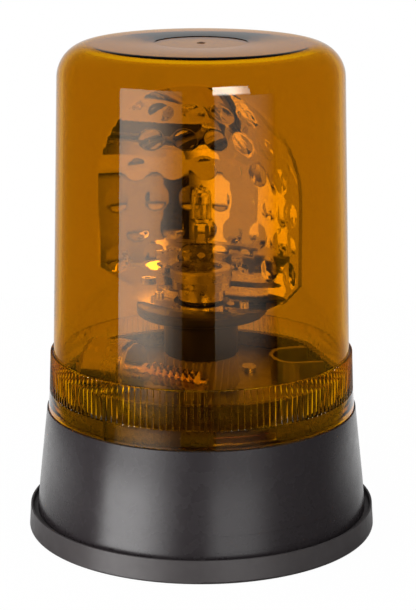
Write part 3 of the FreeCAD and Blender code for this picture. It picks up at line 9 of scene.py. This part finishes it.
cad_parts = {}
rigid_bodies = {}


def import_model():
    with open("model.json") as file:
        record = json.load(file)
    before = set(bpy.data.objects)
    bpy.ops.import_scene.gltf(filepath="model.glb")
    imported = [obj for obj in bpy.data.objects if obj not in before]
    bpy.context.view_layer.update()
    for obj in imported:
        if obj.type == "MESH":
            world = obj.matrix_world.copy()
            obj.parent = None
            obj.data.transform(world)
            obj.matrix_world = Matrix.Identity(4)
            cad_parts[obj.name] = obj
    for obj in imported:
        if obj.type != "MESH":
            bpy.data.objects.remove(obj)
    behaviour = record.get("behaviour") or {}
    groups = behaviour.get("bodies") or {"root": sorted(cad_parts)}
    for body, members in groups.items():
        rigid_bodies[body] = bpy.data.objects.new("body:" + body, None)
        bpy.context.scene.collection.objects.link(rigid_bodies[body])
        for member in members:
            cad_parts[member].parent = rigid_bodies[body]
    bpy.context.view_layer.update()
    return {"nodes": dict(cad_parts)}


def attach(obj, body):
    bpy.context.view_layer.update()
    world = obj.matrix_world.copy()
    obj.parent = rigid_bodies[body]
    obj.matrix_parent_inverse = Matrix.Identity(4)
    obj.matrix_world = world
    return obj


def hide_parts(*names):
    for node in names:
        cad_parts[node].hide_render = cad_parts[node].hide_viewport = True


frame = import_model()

for spare in list(bpy.data.objects):
    if spare.name in ("Cube", "Light", "Camera"):
        bpy.data.objects.remove(spare)

MM = 0.001               # shapes are given in millimetres, the studio in metres
UP = Vector((0, 0, 1))
FULL_TURN = 2 * math.pi
ROTOR_ANGLE = math.radians(-23.4)
CAMERA_PLACE = (0.00310, -0.92554, 0.34955)
CAMERA_PITCH = math.radians(75.27)
CAMERA_LENS = 121.09


# ---- Ways of shaping ----

MERGE = 0.002 * MM


def put(name, form, body, finish, nodes=(), crease=30):
    """Turn a form into a piece that rides on a body and stands for CAD nodes."""
    mesh = bpy.data.meshes.new(name)
    form.to_mesh(mesh)
    form.free()
    mesh.materials.append(finish)
    mesh.polygons.foreach_set("use_smooth", [True] * len(mesh.polygons))
    mesh.set_sharp_from_angle(angle=math.radians(crease))
    thing = bpy.data.objects.new(name, mesh)
    bpy.context.scene.collection.objects.link(thing)
    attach(thing, body)
    if nodes:
        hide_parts(*nodes)
    return thing


def seal(form):
    """Close seams and poles, and point every face outwards."""
    bmesh.ops.remove_doubles(form, verts=form.verts, dist=MERGE)
    bmesh.ops.recalc_face_normals(form, faces=form.faces)
    return form


def chain(form, points, closed=False):
    """Vertices at (across, up) points in the XZ plane, joined by edges."""
    corners = [form.verts.new((across * MM, 0, up * MM)) for across, up in points]
    ends = corners[1:] + corners[:1] if closed else corners[1:]
    edges = [form.edges.new(pair) for pair in zip(corners, ends)]
    return corners + edges


def turned(points, steps, closed=True):
    """Points of (radius, height) turned once round Z."""
    form = bmesh.new()
    geometry = chain(form, points, closed)
    bmesh.ops.spin(form, geom=geometry, cent=(0, 0, 0), axis=UP, angle=FULL_TURN, steps=steps,
                   use_merge=True)
    return seal(form)


def corners_of(parts):
    return [part for part in parts if isinstance(part, bmesh.types.BMVert)]


def faces_of(parts):
    return [part for part in parts if isinstance(part, bmesh.types.BMFace)]


def arc(centre, radius, start, end, count):
    """Points on an arc, its angles in degrees from the outward direction."""
    return [(centre[0] + radius * math.cos(math.radians(turn)),
             centre[1] + radius * math.sin(math.radians(turn)))
            for turn in (start + (end - start) * step / count for step in range(count + 1))]


# ---- Finishes ----

class Paint:
    """A node material with a Principled shader, and its detail on Object coordinates."""

    def __init__(self, name, colour, roughness, metallic=0.0):
        self.material = bpy.data.materials.new(name)
        self.material.use_nodes = True
        self.tree = self.material.node_tree
        self.shader = self.tree.nodes["Principled BSDF"]
        self.output = self.tree.nodes["Material Output"]
        self.shader.inputs["Base Color"].default_value = (*colour, 1)
        self.shader.inputs["Roughness"].default_value = roughness
        self.shader.inputs["Metallic"].default_value = metallic
        self.colour = colour
        self.roughness = roughness
        self.place = self.add("ShaderNodeTexCoord").outputs["Object"]

    def add(self, kind, **settings):
        node = self.tree.nodes.new(kind)
        for key, value in settings.items():
            setattr(node, key, value)
        return node

    def join(self, start, end):
        self.tree.links.new(start, end)

    def noise(self, scale, detail=3.0, stretch=(1, 1, 1)):
        """Noise whose grain is a number of millimetres."""
        mapping = self.add("ShaderNodeMapping")
        mapping.inputs["Scale"].default_value = stretch
        self.join(self.place, mapping.inputs["Vector"])
        cloud = self.add("ShaderNodeTexNoise")
        cloud.inputs["Scale"].default_value = 1 / (scale * MM)
        cloud.inputs["Detail"].default_value = detail
        self.join(mapping.outputs["Vector"], cloud.inputs["Vector"])
        return cloud.outputs["Fac"]

    def spread(self, source, low, high):
        """The middle range of a noise, brought to a range of low to high."""
        ramp = self.add("ShaderNodeMapRange")
        ramp.inputs["From Min"].default_value = 0.3
        ramp.inputs["From Max"].default_value = 0.7
        ramp.inputs["To Min"].default_value = low
        ramp.inputs["To Max"].default_value = high
        self.join(source, ramp.inputs["Value"])
        return ramp.outputs["Result"]

    def mix(self, factor, first, second):
        """The second shader in place of the first, by the factor."""
        node = self.add("ShaderNodeMixShader")
        self.join(factor, node.inputs["Fac"])
        self.join(first, node.inputs[1])
        self.join(second, node.inputs[2])
        return node.outputs["Shader"]

    def finish(self, factor, first, second):
        """A mix of two shaders as the surface."""
        self.join(self.mix(factor, first, second), self.output.inputs["Surface"])

    def vary_roughness(self, scale, amount, stretch=(1, 1, 1)):
        self.join(self.spread(self.noise(scale, stretch=stretch), self.roughness - amount,
                              self.roughness + amount), self.shader.inputs["Roughness"])
        return self

    def vary_colour(self, scale, other):
        mix = self.add("ShaderNodeMix", data_type="RGBA")
        mix.inputs["A"].default_value = (*self.colour, 1)
        mix.inputs["B"].default_value = (*other, 1)
        self.join(self.spread(self.noise(scale), 0, 1), mix.inputs["Factor"])
        self.join(mix.outputs["Result"], self.shader.inputs["Base Color"])
        return self

    def grain(self, scale, height):
        """Relief of a number of millimetres."""
        bump = self.add("ShaderNodeBump")
        bump.inputs["Distance"].default_value = height * MM
        self.join(self.noise(scale, 4.0), bump.inputs["Height"])
        self.join(bump.outputs["Normal"], self.shader.inputs["Normal"])
        return self


def clear(name, colour, bend, shade):
    """A clear material, which tints the lamps' light on its way through."""
    paint = Paint(name, colour, 0.0)
    paint.shader.inputs["Transmission Weight"].default_value = 1
    paint.shader.inputs["IOR"].default_value = bend
    veil = paint.add("ShaderNodeBsdfTransparent")
    veil.inputs["Color"].default_value = (*shade, 1)
    rays = paint.add("ShaderNodeLightPath")
    paint.finish(rays.outputs["Is Shadow Ray"], paint.shader.outputs["BSDF"], veil.outputs["BSDF"])
    return paint


def metal(name, colour, roughness):
    return Paint(name, colour, roughness, 1.0)


amber = clear("amber_dome", (0.607, 0.385, 0.20), 1.49, (0.85, 0.70, 0.48))
tint = amber.add("ShaderNodeVolumeAbsorption")
tint.inputs["Color"].default_value = (0.980, 0.926, 0.0, 1)
tint.inputs["Density"].default_value = 748
amber.join(tint.outputs["Volume"], amber.output.inputs["Volume"])
bulb_glass = clear("bulb_glass", (0.96, 0.96, 0.96), 1.46, (0.97, 0.97, 0.97))
base_plastic = Paint("base_plastic", (0.041, 0.034, 0.037), 0.27)
base_plastic.shader.inputs["IOR"].default_value = 1.7
base_plastic.vary_roughness(6, 0.03).grain(0.35, 0.012)
foot_rubber = Paint("foot_rubber", (0.088, 0.078, 0.079), 0.38)
foot_rubber.vary_colour(5, (0.100, 0.090, 0.091)).vary_roughness(3, 0.05).grain(0.5, 0.02)
seal_rubber = Paint("seal_rubber", (0.02, 0.02, 0.02), 0.6).grain(0.5, 0.02)
carrier_plastic = Paint("carrier_plastic", (0.012, 0.012, 0.012), 0.38)
carrier_plastic.vary_roughness(4, 0.05).grain(0.4, 0.01)
wheel_plastic = Paint("wheel_plastic", (0.55, 0.53, 0.48), 0.40).grain(0.4, 0.01)
terminal_plastic = Paint("terminal_plastic", (0.62, 0.60, 0.55), 0.45).grain(0.4, 0.01)
chassis_metal = metal("chassis_metal", (0.42, 0.42, 0.41), 0.38)
chassis_metal.vary_colour(9, (0.30, 0.30, 0.29)).vary_roughness(4, 0.10).grain(0.8, 0.03)
zinc_steel = metal("zinc_steel", (0.66, 0.66, 0.64), 0.28).vary_roughness(2, 0.08)
rivet_aluminium = metal("rivet_aluminium", (0.72, 0.72, 0.72), 0.30).vary_roughness(2, 0.08)
spring_steel = metal("spring_steel", (0.50, 0.50, 0.50), 0.30).vary_roughness(2, 0.08)
insert_brass = metal("insert_brass", (0.72, 0.52, 0.22), 0.30).vary_roughness(2, 0.08)
lamp_metal = metal("lamp_metal", (0.60, 0.58, 0.54), 0.30).vary_roughness(3, 0.08)
ring_metal = metal("ring_metal", (0.58, 0.56, 0.52), 0.32).vary_roughness(3, 0.08)
bulb_metal = metal("bulb_metal", (0.55, 0.53, 0.50), 0.25).vary_roughness(3, 0.08)
tungsten = metal("filament_tungsten", (0.35, 0.34, 0.33), 0.35).vary_roughness(1, 0.08)
bush_bronze = metal("bush_bronze", (0.50, 0.34, 0.18), 0.40).vary_roughness(2, 0.08)
worm_brass = metal("worm_brass", (0.95, 0.80, 0.48), 0.17).vary_roughness(2, 0.05)
motor_steel = metal("motor_steel", (0.72, 0.71, 0.68), 0.24)
motor_steel.vary_roughness(5, 0.03, (1, 1, 6)).vary_colour(12, (0.66, 0.65, 0.63))
chrome = metal("reflector_chrome", (0.93, 0.92, 0.90), 0.03)

FINISHES = {
    "base_plastic": base_plastic, "foot_rubber": foot_rubber, "seal_rubber": seal_rubber,
    "insert_brass": insert_brass, "dome_amber": amber, "chassis_metal": chassis_metal,
    "zinc_steel": zinc_steel, "rivet_aluminium": rivet_aluminium,
    "terminal_plastic": terminal_plastic, "spring_steel": spring_steel,
    "lamp_metal": lamp_metal, "ring_metal": ring_metal, "bulb_metal": bulb_metal,
    "bulb_glass": bulb_glass, "filament_tungsten": tungsten, "carrier_plastic": carrier_plastic,
    "bush_bronze": bush_bronze, "wheel_plastic": wheel_plastic, "reflector_chrome": chrome,
    "worm_brass": worm_brass, "motor_steel": motor_steel,
}


# ---- Dome ----

RIB_COUNT = 150
COLUMNS_PER_RIB = 4
RIB_DEPTH = 0.5
RIB_BASE, RIB_TOP = 67.5, 85.6
RIB_SHIFTS = (0.0, -0.15, -0.20, -0.35)      # of a rib's pitch, for each of its columns
WALL_TAPER, WALL_HEIGHT, WALL_STEPS = 3.6, 127.8, 8
SHOULDER, SHOULDER_RADIUS, DOME_WALL = (49.99, 213.4), 15.5, 3.0
LUG_BASE, LUG_TOP, LUG_RADIUS, LUG_HALF_SPAN = 60.5, 63.5, 66.4, 12.0
LUG_ANGLES = (287, 47, 167)


def make_dome():
    """One clear shell: a smooth tall wall, a ribbed band, a plain skirt and three inner lugs."""
    lean = math.degrees(math.atan(WALL_TAPER / WALL_HEIGHT))
    parts = [step / WALL_STEPS for step in range(1, WALL_STEPS)]
    outer = [(0, 228.6), (1.0, 228.6), (1.2, 228.85), (1.8, 228.85), (2.0, 228.6),
             (21.2, 228.6), (21.35, 228.88), (21.8, 228.9), (35, 228.9)]
    outer += arc(SHOULDER, SHOULDER_RADIUS, 90, lean, 16)
    outer += [(65.5 + WALL_TAPER * part, SHOULDER[1] - WALL_HEIGHT * part) for part in parts]
    outer += [(69.1, RIB_TOP + 0.2), (69.25, RIB_TOP), (70.45, RIB_TOP)]
    band = [(70.6, RIB_TOP - 0.15), (70.8, 80), (71.0, 75), (71.27, RIB_BASE + 0.4)]
    skirt = [(71.3, RIB_BASE), (71.34, 66.9), (71.9, 60.0), (72.0, 59.1), (71.85, 58.9),
             (68.6, 58.9), (68.5, 59.0)]
    inner = [(68.46, LUG_BASE - 0.1), (68.46, LUG_BASE), (68.4, LUG_TOP),
             (68.4, LUG_TOP + 0.1), (68.2, 78.3), (66.1, RIB_TOP)]
    inner += [(66.1 - WALL_TAPER * part, RIB_TOP + WALL_HEIGHT * part) for part in parts]
    inner += arc(SHOULDER, SHOULDER_RADIUS - DOME_WALL, lean, 90, 14) + [(30, 225.9), (0, 225.9)]
    form = turned(outer + band + skirt + inner, RIB_COUNT * COLUMNS_PER_RIB, closed=False)
    pitch = FULL_TURN / RIB_COUNT
    for corner in form.verts:
        radius, height = corner.co.xy.length / MM, corner.co.z / MM
        if radius < 0.5:
            continue
        column = round(math.atan2(corner.co.y, corner.co.x) / pitch * COLUMNS_PER_RIB)
        place = column % COLUMNS_PER_RIB
        in_band = 69.5 < radius and RIB_BASE + 0.2 < height < RIB_TOP + 0.05
        new_radius = radius
        if in_band and place in (0, 3):
            new_radius = radius - RIB_DEPTH
        if 67 < radius < 68.6 and LUG_BASE - 0.05 < height < LUG_TOP + 0.05:
            angle = math.degrees(column * pitch / COLUMNS_PER_RIB) % 360
            if min(abs((angle - lug + 180) % 360 - 180) for lug in LUG_ANGLES) < LUG_HALF_SPAN:
                new_radius = LUG_RADIUS
        scale = new_radius / radius
        turn = Matrix.Rotation(RIB_SHIFTS[place] * pitch, 3, "Z")
        corner.co = turn @ Vector((corner.co.x * scale, corner.co.y * scale, corner.co.z))
    return put("dome_shell", form, "dome", amber.material, ["dome"], 25)


# ---- Reflector ----

BOWL_RADIUS, BOWL_DEPTH, BOWL_FRONT = 50.0, 28.0, 6.0
BOWL_AXIS, BOWL_FOOT, BOWL_WALL = 160.5, 108.9, 1.5
DIMPLE_RADIUS, DIMPLE_HEIGHT = 5.9, 0.42
DIMPLE_ROWS, DIMPLE_BASE, DIMPLE_RISE, DIMPLE_PITCH = 6, 124.0, 14.3, 14.5
WAVE_HEIGHT = 0.03
FOOT_CUT = 12.6                              # from the bowl's side to its foot's corner
FOOT_THICKNESS, FOOT_SINK, FOOT_OVERLAP = 1.0, 0.8, 0.4
FOOT_RADIUS, FOOT_FRONT, FOOT_HALF_SPAN = 50, -19, 44
CUP_HOLE_RADIUS = 13.0


def bowl_depth_at(across):
    return BOWL_DEPTH - BOWL_FRONT - BOWL_DEPTH * (across / BOWL_RADIUS) ** 2


def dimple_places():
    """Staggered rows of dimples, on the back of the bowl, as points of its face."""
    places = []
    for row in range(DIMPLE_ROWS):
        height = DIMPLE_BASE + row * DIMPLE_RISE
        for column in range(-3, 4):
            across = (column + (0.5 if row % 2 else 0.0)) * DIMPLE_PITCH
            rise = max(height - BOWL_AXIS, 0.0)
            reach = math.hypot(across, rise)
            if reach > BOWL_RADIUS - 3:
                continue
            places.append(Vector((across * MM, bowl_depth_at(reach) * MM, height * MM)))
    return places


def make_reflector():
    """A pressed bowl with a straight lower half, round dimples and a flat foot."""
    form = bmesh.new()
    rings, sweep, rows = 60, 180, 62
    half = [(BOWL_RADIUS * step / rings) for step in range(rings + 1)]
    corners = [form.verts.new((across * MM, bowl_depth_at(across) * MM, BOWL_AXIS * MM))
               for across in half]
    edges = [form.edges.new(pair) for pair in zip(corners, corners[1:])]
    bmesh.ops.spin(form, geom=corners + edges, cent=(0, 0, BOWL_AXIS * MM), axis=(0, -1, 0),
                   angle=math.pi, steps=sweep)
    bmesh.ops.remove_doubles(form, verts=form.verts, dist=MERGE)
    level = [edge for edge in form.edges
             if all(abs(end.co.z - BOWL_AXIS * MM) < 0.01 * MM for end in edge.verts)]
    step = (BOWL_FOOT - BOWL_AXIS) / rows
    for _ in range(rows):
        grown = bmesh.ops.extrude_edge_only(form, edges=level)["geom"]
        level = [part for part in grown if isinstance(part, bmesh.types.BMEdge)]
        moved = corners_of(grown)
        bmesh.ops.translate(form, verts=moved, vec=(0, 0, step * MM))
        level = [edge for edge in level if all(end in moved for end in edge.verts)]
    for side in (-1, 1):
        bmesh.ops.bisect_plane(
            form, geom=form.verts[:] + form.edges[:] + form.faces[:], dist=0.001 * MM,
            plane_co=(side * (BOWL_RADIUS - FOOT_CUT) * MM, 0, BOWL_FOOT * MM),
            plane_no=(side, 0, -1), clear_outer=True)
    bmesh.ops.recalc_face_normals(form, faces=form.faces)
    if sum(face.normal.y for face in form.faces) > 0:
        bmesh.ops.reverse_faces(form, faces=form.faces)
    form.normal_update()
    places = dimple_places()
    for corner in form.verts:
        reach = min((corner.co - place).length for place in places) / (DIMPLE_RADIUS * MM)
        wave = (math.sin(corner.co.x / (7.1 * MM) + 1.0) * math.sin(corner.co.z / (6.3 * MM))
                + math.sin(corner.co.z / (10.7 * MM) + corner.co.x / (13.0 * MM)))
        height = WAVE_HEIGHT * wave
        if reach < 1:
            height += DIMPLE_HEIGHT * (1 - reach * reach)
        corner.co += corner.normal * height * MM
    bmesh.ops.solidify(form, geom=form.faces[:], thickness=BOWL_WALL * MM)
    foot_plate(form)
    bmesh.ops.rotate(form, verts=form.verts, cent=(0, 0, 0),
                     matrix=Matrix.Rotation(ROTOR_ANGLE, 3, "Z"))
    return put("reflector_bowl", form, "rotor", chrome.material,
               ["reflector"], 35)


def foot_plate(form):
    """The bowl's flat foot, with its hole round the lamp cup."""
    front = [(FOOT_RADIUS * math.cos(turn), FOOT_RADIUS + FOOT_FRONT + FOOT_RADIUS * math.sin(turn))
             for turn in (math.radians(-90 - FOOT_HALF_SPAN + 2 * FOOT_HALF_SPAN * step / 32)
                          for step in range(33))]
    half_width = BOWL_RADIUS - FOOT_CUT - FOOT_SINK
    back = [(across, bowl_depth_at(across) + FOOT_OVERLAP)
            for across in (half_width - 2 * half_width * step / 32 for step in range(33))]
    hole = [(CUP_HOLE_RADIUS * math.cos(FULL_TURN * step / 64),
             CUP_HOLE_RADIUS * math.sin(FULL_TURN * step / 64)) for step in range(64)]
    edges = []
    for loop in (front + back, hole):
        corners = [form.verts.new((across * MM, along * MM, (BOWL_FOOT - FOOT_THICKNESS) * MM))
                   for across, along in loop]
        edges += [form.edges.new(pair) for pair in zip(corners, corners[1:] + corners[:1])]
    flat = faces_of(bmesh.ops.triangle_fill(form, use_beauty=True, edges=edges)["geom"])
    raised = bmesh.ops.extrude_face_region(form, geom=flat)["geom"]
    bmesh.ops.translate(form, vec=(0, 0, FOOT_THICKNESS * MM), verts=corners_of(raised))
    plate = {face for edge in edges for face in edge.link_faces} | set(faces_of(raised) + flat)
    bmesh.ops.recalc_face_normals(form, faces=list(plate))


# ---- Lamp ----

def make_knurl():
    """The knurled band on the ring that holds the bulb down."""
    diamonds, tiers, low, high = 56, 6, 119.7, 124.5
    bore, middle, valley, crest = 13.8, 14.1, 13.85, 14.5
    rise = (high - low) / tiers
    face = [(middle, low + rise * tier) for tier in range(tiers + 1)]
    form = turned([(bore, low)] + face + [(bore, high)], diamonds * 2)
    for corner in form.verts:
        radius = corner.co.xy.length / MM
        if radius < (bore + middle) / 2:
            continue
        column = round(math.atan2(corner.co.y, corner.co.x) / FULL_TURN * diamonds * 2)
        tier = round((corner.co.z / MM - low) / rise)
        reach = crest if 0 < tier < tiers and (column + tier) % 2 else valley
        corner.co.xy *= reach / radius
    return put("knurled_band", form, "lamp_ring", ring_metal.material, crease=15)


def rod(form, start, end, radius):
    """A thin round rod between two points."""
    start, end = Vector(start) * MM, Vector(end) * MM
    turn = (end - start).to_track_quat("Z", "Y").to_matrix().to_4x4()
    bmesh.ops.create_cone(form, segments=8, radius1=radius * MM, radius2=radius * MM,
                          depth=(end - start).length, cap_ends=True,
                          matrix=Matrix.Translation((start + end) / 2) @ turn)


def make_filament():
    """A coiled wire that stands on its two leads."""
    form = bmesh.new()
    turns, steps, wire, coil = 11, 154, 0.13, 0.55
    bottom, top, side, foot, lead = 149.0, 154.2, 2.3, 147.9, 0.16
    ring = bmesh.ops.create_circle(form, segments=8, radius=wire * MM, cap_ends=False,
                                   matrix=Matrix.Translation((coil * MM, 0, bottom * MM))
                                   @ Matrix.Rotation(math.pi / 2, 4, "X"))["verts"]
    edges = list({edge for corner in ring for edge in corner.link_edges})
    bmesh.ops.spin(form, geom=ring + edges, cent=(0, 0, 0), axis=UP, angle=FULL_TURN * turns,
                   steps=steps, dvec=(0, 0, (top - bottom) / steps * MM))
    bmesh.ops.holes_fill(form, edges=[edge for edge in form.edges if edge.is_boundary], sides=0)
    seal(form)
    rod(form, (coil, 0, foot), (coil, 0, bottom), lead)
    rod(form, (coil, 0, top), (side, 0, top), lead)
    rod(form, (side, 0, top + 0.1), (side, 0, foot), lead)
    return put("filament_coil", form, "housing", tungsten.material,
               ["bulb_filament"])


def make_foils():
    """Two metal foils in the flat glass pinch of the bulb, and the wires that meet them."""
    form = bmesh.new()
    half, low, high, thickness = 0.9, 138.5, 144.5, 0.06
    for middle in (-2.6, 2.6):
        corners = [form.verts.new(((middle + across) * MM, thickness / 2 * MM, height * MM))
                   for across, height in ((-half, low), (half, low), (half, high), (-half, high))]
        flat = form.faces.new(corners)
        raised = bmesh.ops.extrude_face_region(form, geom=[flat])["geom"]
        bmesh.ops.translate(form, vec=(0, -thickness * MM, 0), verts=corners_of(raised))
        rod(form, (middle, 0, 136.2), (middle, 0, 139.2), 0.3)
        rod(form, (middle, 0, 143.8), (middle, 0, 146.6), 0.2)
    bmesh.ops.recalc_face_normals(form, faces=form.faces)
    return put("pinch_foils", form, "housing", tungsten.material)


# ---- Base ----

WALL_FOOT, CREASE = (77.7, 10.9), (76.6, 22.7)


def base_radius_at(height):
    """Outside of the base wall below its crease."""
    climb = (height - WALL_FOOT[1]) / (CREASE[1] - WALL_FOOT[1])
    return WALL_FOOT[0] - (WALL_FOOT[0] - CREASE[0]) * climb


def make_bare_frame():
    """A raised rectangular outline on the front of the base, with nothing in it."""
    form = bmesh.new()
    start, end = math.radians(-85.5), math.radians(-42.5)
    line, proud, sunk = 0.45, 0.16, 0.3
    low, high = 12.6, 20.6

    def bar(bottom, top, first, last, steps):
        section = [(base_radius_at(bottom) - sunk, bottom), (base_radius_at(bottom) + proud, bottom),
                   (base_radius_at(top) + proud, top), (base_radius_at(top) - sunk, top)]
        corners = [form.verts.new((radius * math.cos(first) * MM, radius * math.sin(first) * MM,
                                   height * MM)) for radius, height in section]
        edges = [form.edges.new(pair) for pair in zip(corners, corners[1:] + corners[:1])]
        cap = form.faces.new(corners)
        bmesh.ops.spin(form, geom=corners + edges + [cap], cent=(0, 0, 0), axis=UP,
                       angle=last - first, steps=steps)

    side = line / WALL_FOOT[0]
    bar(low, low + line, start, end, 40)
    bar(high - line, high, start, end, 40)
    bar(low, high, start, start + side, 1)
    bar(low, high, end - side, end, 1)
    bmesh.ops.recalc_face_normals(form, faces=form.faces)
    return put("bare_frame", form, "housing", base_plastic.material)


make_dome()
make_reflector()
make_knurl()
make_filament()
make_foils()
make_bare_frame()


# ---- Finishes on the other pieces ----

for thing in frame["nodes"].values():
    for place in thing.material_slots:
        place.material = FINISHES[place.material.name.split(".")[0]].material


# ---- Studio ----

PANEL_FOOT = 0.045            # height over which a panel's light comes up
TABLE_RADIUS, TABLE_MIDDLE, TABLE_DROP = 0.33, 0.12, 0.0002
TABLE_GLOW, TABLE_WHITENESS = 1.02, 0.96
ROOM_DARK, ROOM_BRIGHT, ROOM_PLAIN = 0.03, 1.3, 0.55


def figure(tree, operation, *values):
    """A Math node on sockets or plain numbers."""
    node = tree.nodes.new("ShaderNodeMath")
    node.operation = operation
    for place, value in zip(node.inputs, values):
        if isinstance(value, bpy.types.NodeSocket):
            tree.links.new(value, place)
        else:
            place.default_value = value
    return node.outputs[0]


def slope(tree, source, start, end, low, high):
    """A smooth change from low to high as the source goes from start to end."""
    node = tree.nodes.new("ShaderNodeMapRange")
    node.interpolation_type = "SMOOTHSTEP"
    tree.links.new(source, node.inputs["Value"])
    for place, value in zip(node.inputs[1:5], (start, end, low, high)):
        place.default_value = value
    return node.outputs["Result"]


def stage_sheet(name, form):
    """A flat form of the studio, and its paint."""
    mesh = bpy.data.meshes.new(name)
    form.to_mesh(mesh)
    form.free()
    thing = bpy.data.objects.new(name, mesh)
    bpy.context.scene.collection.objects.link(thing)
    paint = Paint(name, (0.80, 0.80, 0.80), 0.9)
    mesh.materials.append(paint.material)
    return thing, paint


def panel(name, weak_edge, strong_edge, low, high, strength, fade, lights=True):
    """A soft light between two points of the floor plan, weaker at one edge and its foot."""
    form = bmesh.new()
    form.faces.new([form.verts.new((*place, height)) for place, height in
                    ((weak_edge, low), (strong_edge, low), (strong_edge, high),
                     (weak_edge, high))])
    thing, paint = stage_sheet(name, form)
    thing.visible_camera = False
    thing.visible_diffuse = lights
    tree = paint.tree
    light = paint.add("ShaderNodeEmission")
    split = paint.add("ShaderNodeSeparateXYZ")
    paint.join(paint.place, split.inputs["Vector"])
    across = slope(tree, split.outputs["X"], weak_edge[0],
                   weak_edge[0] * 0.45 + strong_edge[0] * 0.55, strength * fade, strength)
    upwards = slope(tree, split.outputs["Z"], low, low + PANEL_FOOT, 0.05, 1.0)
    paint.join(figure(tree, "MULTIPLY", across, upwards), light.inputs["Strength"])
    rays = paint.add("ShaderNodeLightPath")
    straight = figure(tree, "LESS_THAN", rays.outputs["Glossy Depth"], 0.5)
    through = figure(tree, "MULTIPLY", rays.outputs["Is Transmission Ray"], straight)
    gone = paint.add("ShaderNodeBsdfTransparent")
    paint.finish(through, light.outputs["Emission"], gone.outputs["BSDF"])


def make_floor():
    """A round white table top; reflections lose it towards the front."""
    form = bmesh.new()
    bmesh.ops.create_circle(form, cap_ends=True, segments=96, radius=TABLE_RADIUS,
                            matrix=Matrix.Translation((0, TABLE_MIDDLE, -TABLE_DROP)))
    paint = stage_sheet("table_top", form)[1]
    tree = paint.tree
    rays = paint.add("ShaderNodeLightPath").outputs
    light = paint.add("ShaderNodeEmission")
    light.inputs["Strength"].default_value = TABLE_GLOW
    glow = light.outputs["Emission"]
    gone = paint.add("ShaderNodeBsdfTransparent").outputs["BSDF"]
    split = paint.add("ShaderNodeSeparateXYZ")
    paint.join(paint.place, split.inputs["Vector"])
    left = figure(tree, "MAXIMUM", figure(tree, "MULTIPLY", split.outputs["X"], -0.30), 0.0)
    back = slope(tree, figure(tree, "ADD", split.outputs["Y"], left), -0.05, 0.14, 0.0, 1.0)
    reach = paint.add("ShaderNodeVectorMath", operation="LENGTH")
    paint.join(paint.place, reach.inputs[0])
    near = slope(tree, reach.outputs["Value"], 0.24, 0.31, 1.0, 0.0)
    seen = figure(tree, "MAXIMUM", rays["Is Camera Ray"], rays["Is Transmission Ray"])
    white = figure(tree, "MULTIPLY", seen, TABLE_WHITENESS)
    plain = paint.mix(white, paint.shader.outputs["BSDF"], glow)
    mirrored = paint.mix(figure(tree, "MULTIPLY", back, near), gone, glow)
    paint.finish(rays["Is Glossy Ray"], plain, mirrored)


def make_world():
    """White behind everything; reflections see it fade into a dark room in front."""
    world = bpy.data.worlds.new("studio")
    bpy.context.scene.world = world
    world.use_nodes = True
    tree = world.node_tree
    light = tree.nodes["Background"]
    light.inputs["Color"].default_value = (1, 1, 1, 1)
    rays = tree.nodes.new("ShaderNodeLightPath").outputs
    direction = tree.nodes.new("ShaderNodeTexCoord")
    split = tree.nodes.new("ShaderNodeSeparateXYZ")
    tree.links.new(direction.outputs["Generated"], split.inputs["Vector"])
    reach = figure(tree, "MAXIMUM", figure(tree, "MULTIPLY_ADD", split.outputs["Y"], 2.22, -1.22),
                   0.0)
    level = slope(tree, split.outputs["Z"], -0.15, 0.45, 0.75, 0.0)
    outside = figure(tree, "MULTIPLY_ADD", figure(tree, "POWER", reach, 2.2), level, 0.015)
    around = slope(tree, split.outputs["Y"], -0.85, -0.62, ROOM_DARK, ROOM_BRIGHT)
    below = slope(tree, split.outputs["Z"], -0.42, -0.25, ROOM_BRIGHT, ROOM_DARK)
    inside = figure(tree, "MAXIMUM", around, below)
    through = rays["Is Transmission Ray"]
    gap = figure(tree, "SUBTRACT", inside, outside)
    mirrored = figure(tree, "MULTIPLY_ADD", gap, through, outside)
    straight = figure(tree, "MAXIMUM", rays["Is Camera Ray"], through)
    plain = figure(tree, "MAXIMUM", straight, ROOM_PLAIN)
    turned_back = figure(tree, "GREATER_THAN", rays["Glossy Depth"], 0.5)
    change = figure(tree, "SUBTRACT", mirrored, plain)
    tree.links.new(figure(tree, "MULTIPLY_ADD", change, turned_back, plain),
                   light.inputs["Strength"])


def make_camera():
    """In front and a little above, tipped down at the beacon."""
    lens = bpy.data.cameras.new("camera")
    lens.lens = CAMERA_LENS
    lens.sensor_width = 36
    lens.clip_start = 0.01
    view = bpy.data.objects.new("camera", lens)
    view.location = CAMERA_PLACE
    view.rotation_euler = (CAMERA_PITCH, 0, 0)
    bpy.context.scene.collection.objects.link(view)
    bpy.context.scene.camera = view


make_floor()
make_world()
panel("softbox_left", (-0.082, -0.358), (-0.357, -0.200), 0.0, 0.285, 3.2, 0.1)
panel("softbox_right", (0.380, -0.250), (0.070, -0.411), 0.0, 0.215, 0.8, 0.0)
panel("lamp_right", (0.240, -0.335), (0.065, -0.414), 0.215, 0.40, 16.0, 0.3, lights=False)
panel("low_card_left", (-0.040, -0.175), (-0.150, -0.100), -0.10, 0.030, 3.4, 0.1, lights=False)
panel("low_card_right", (0.122, -0.132), (0.016, -0.179), -0.10, 0.030, 1.0, 0.0, lights=False)
make_camera()
bpy.context.scene.view_settings.view_transform = "Standard"
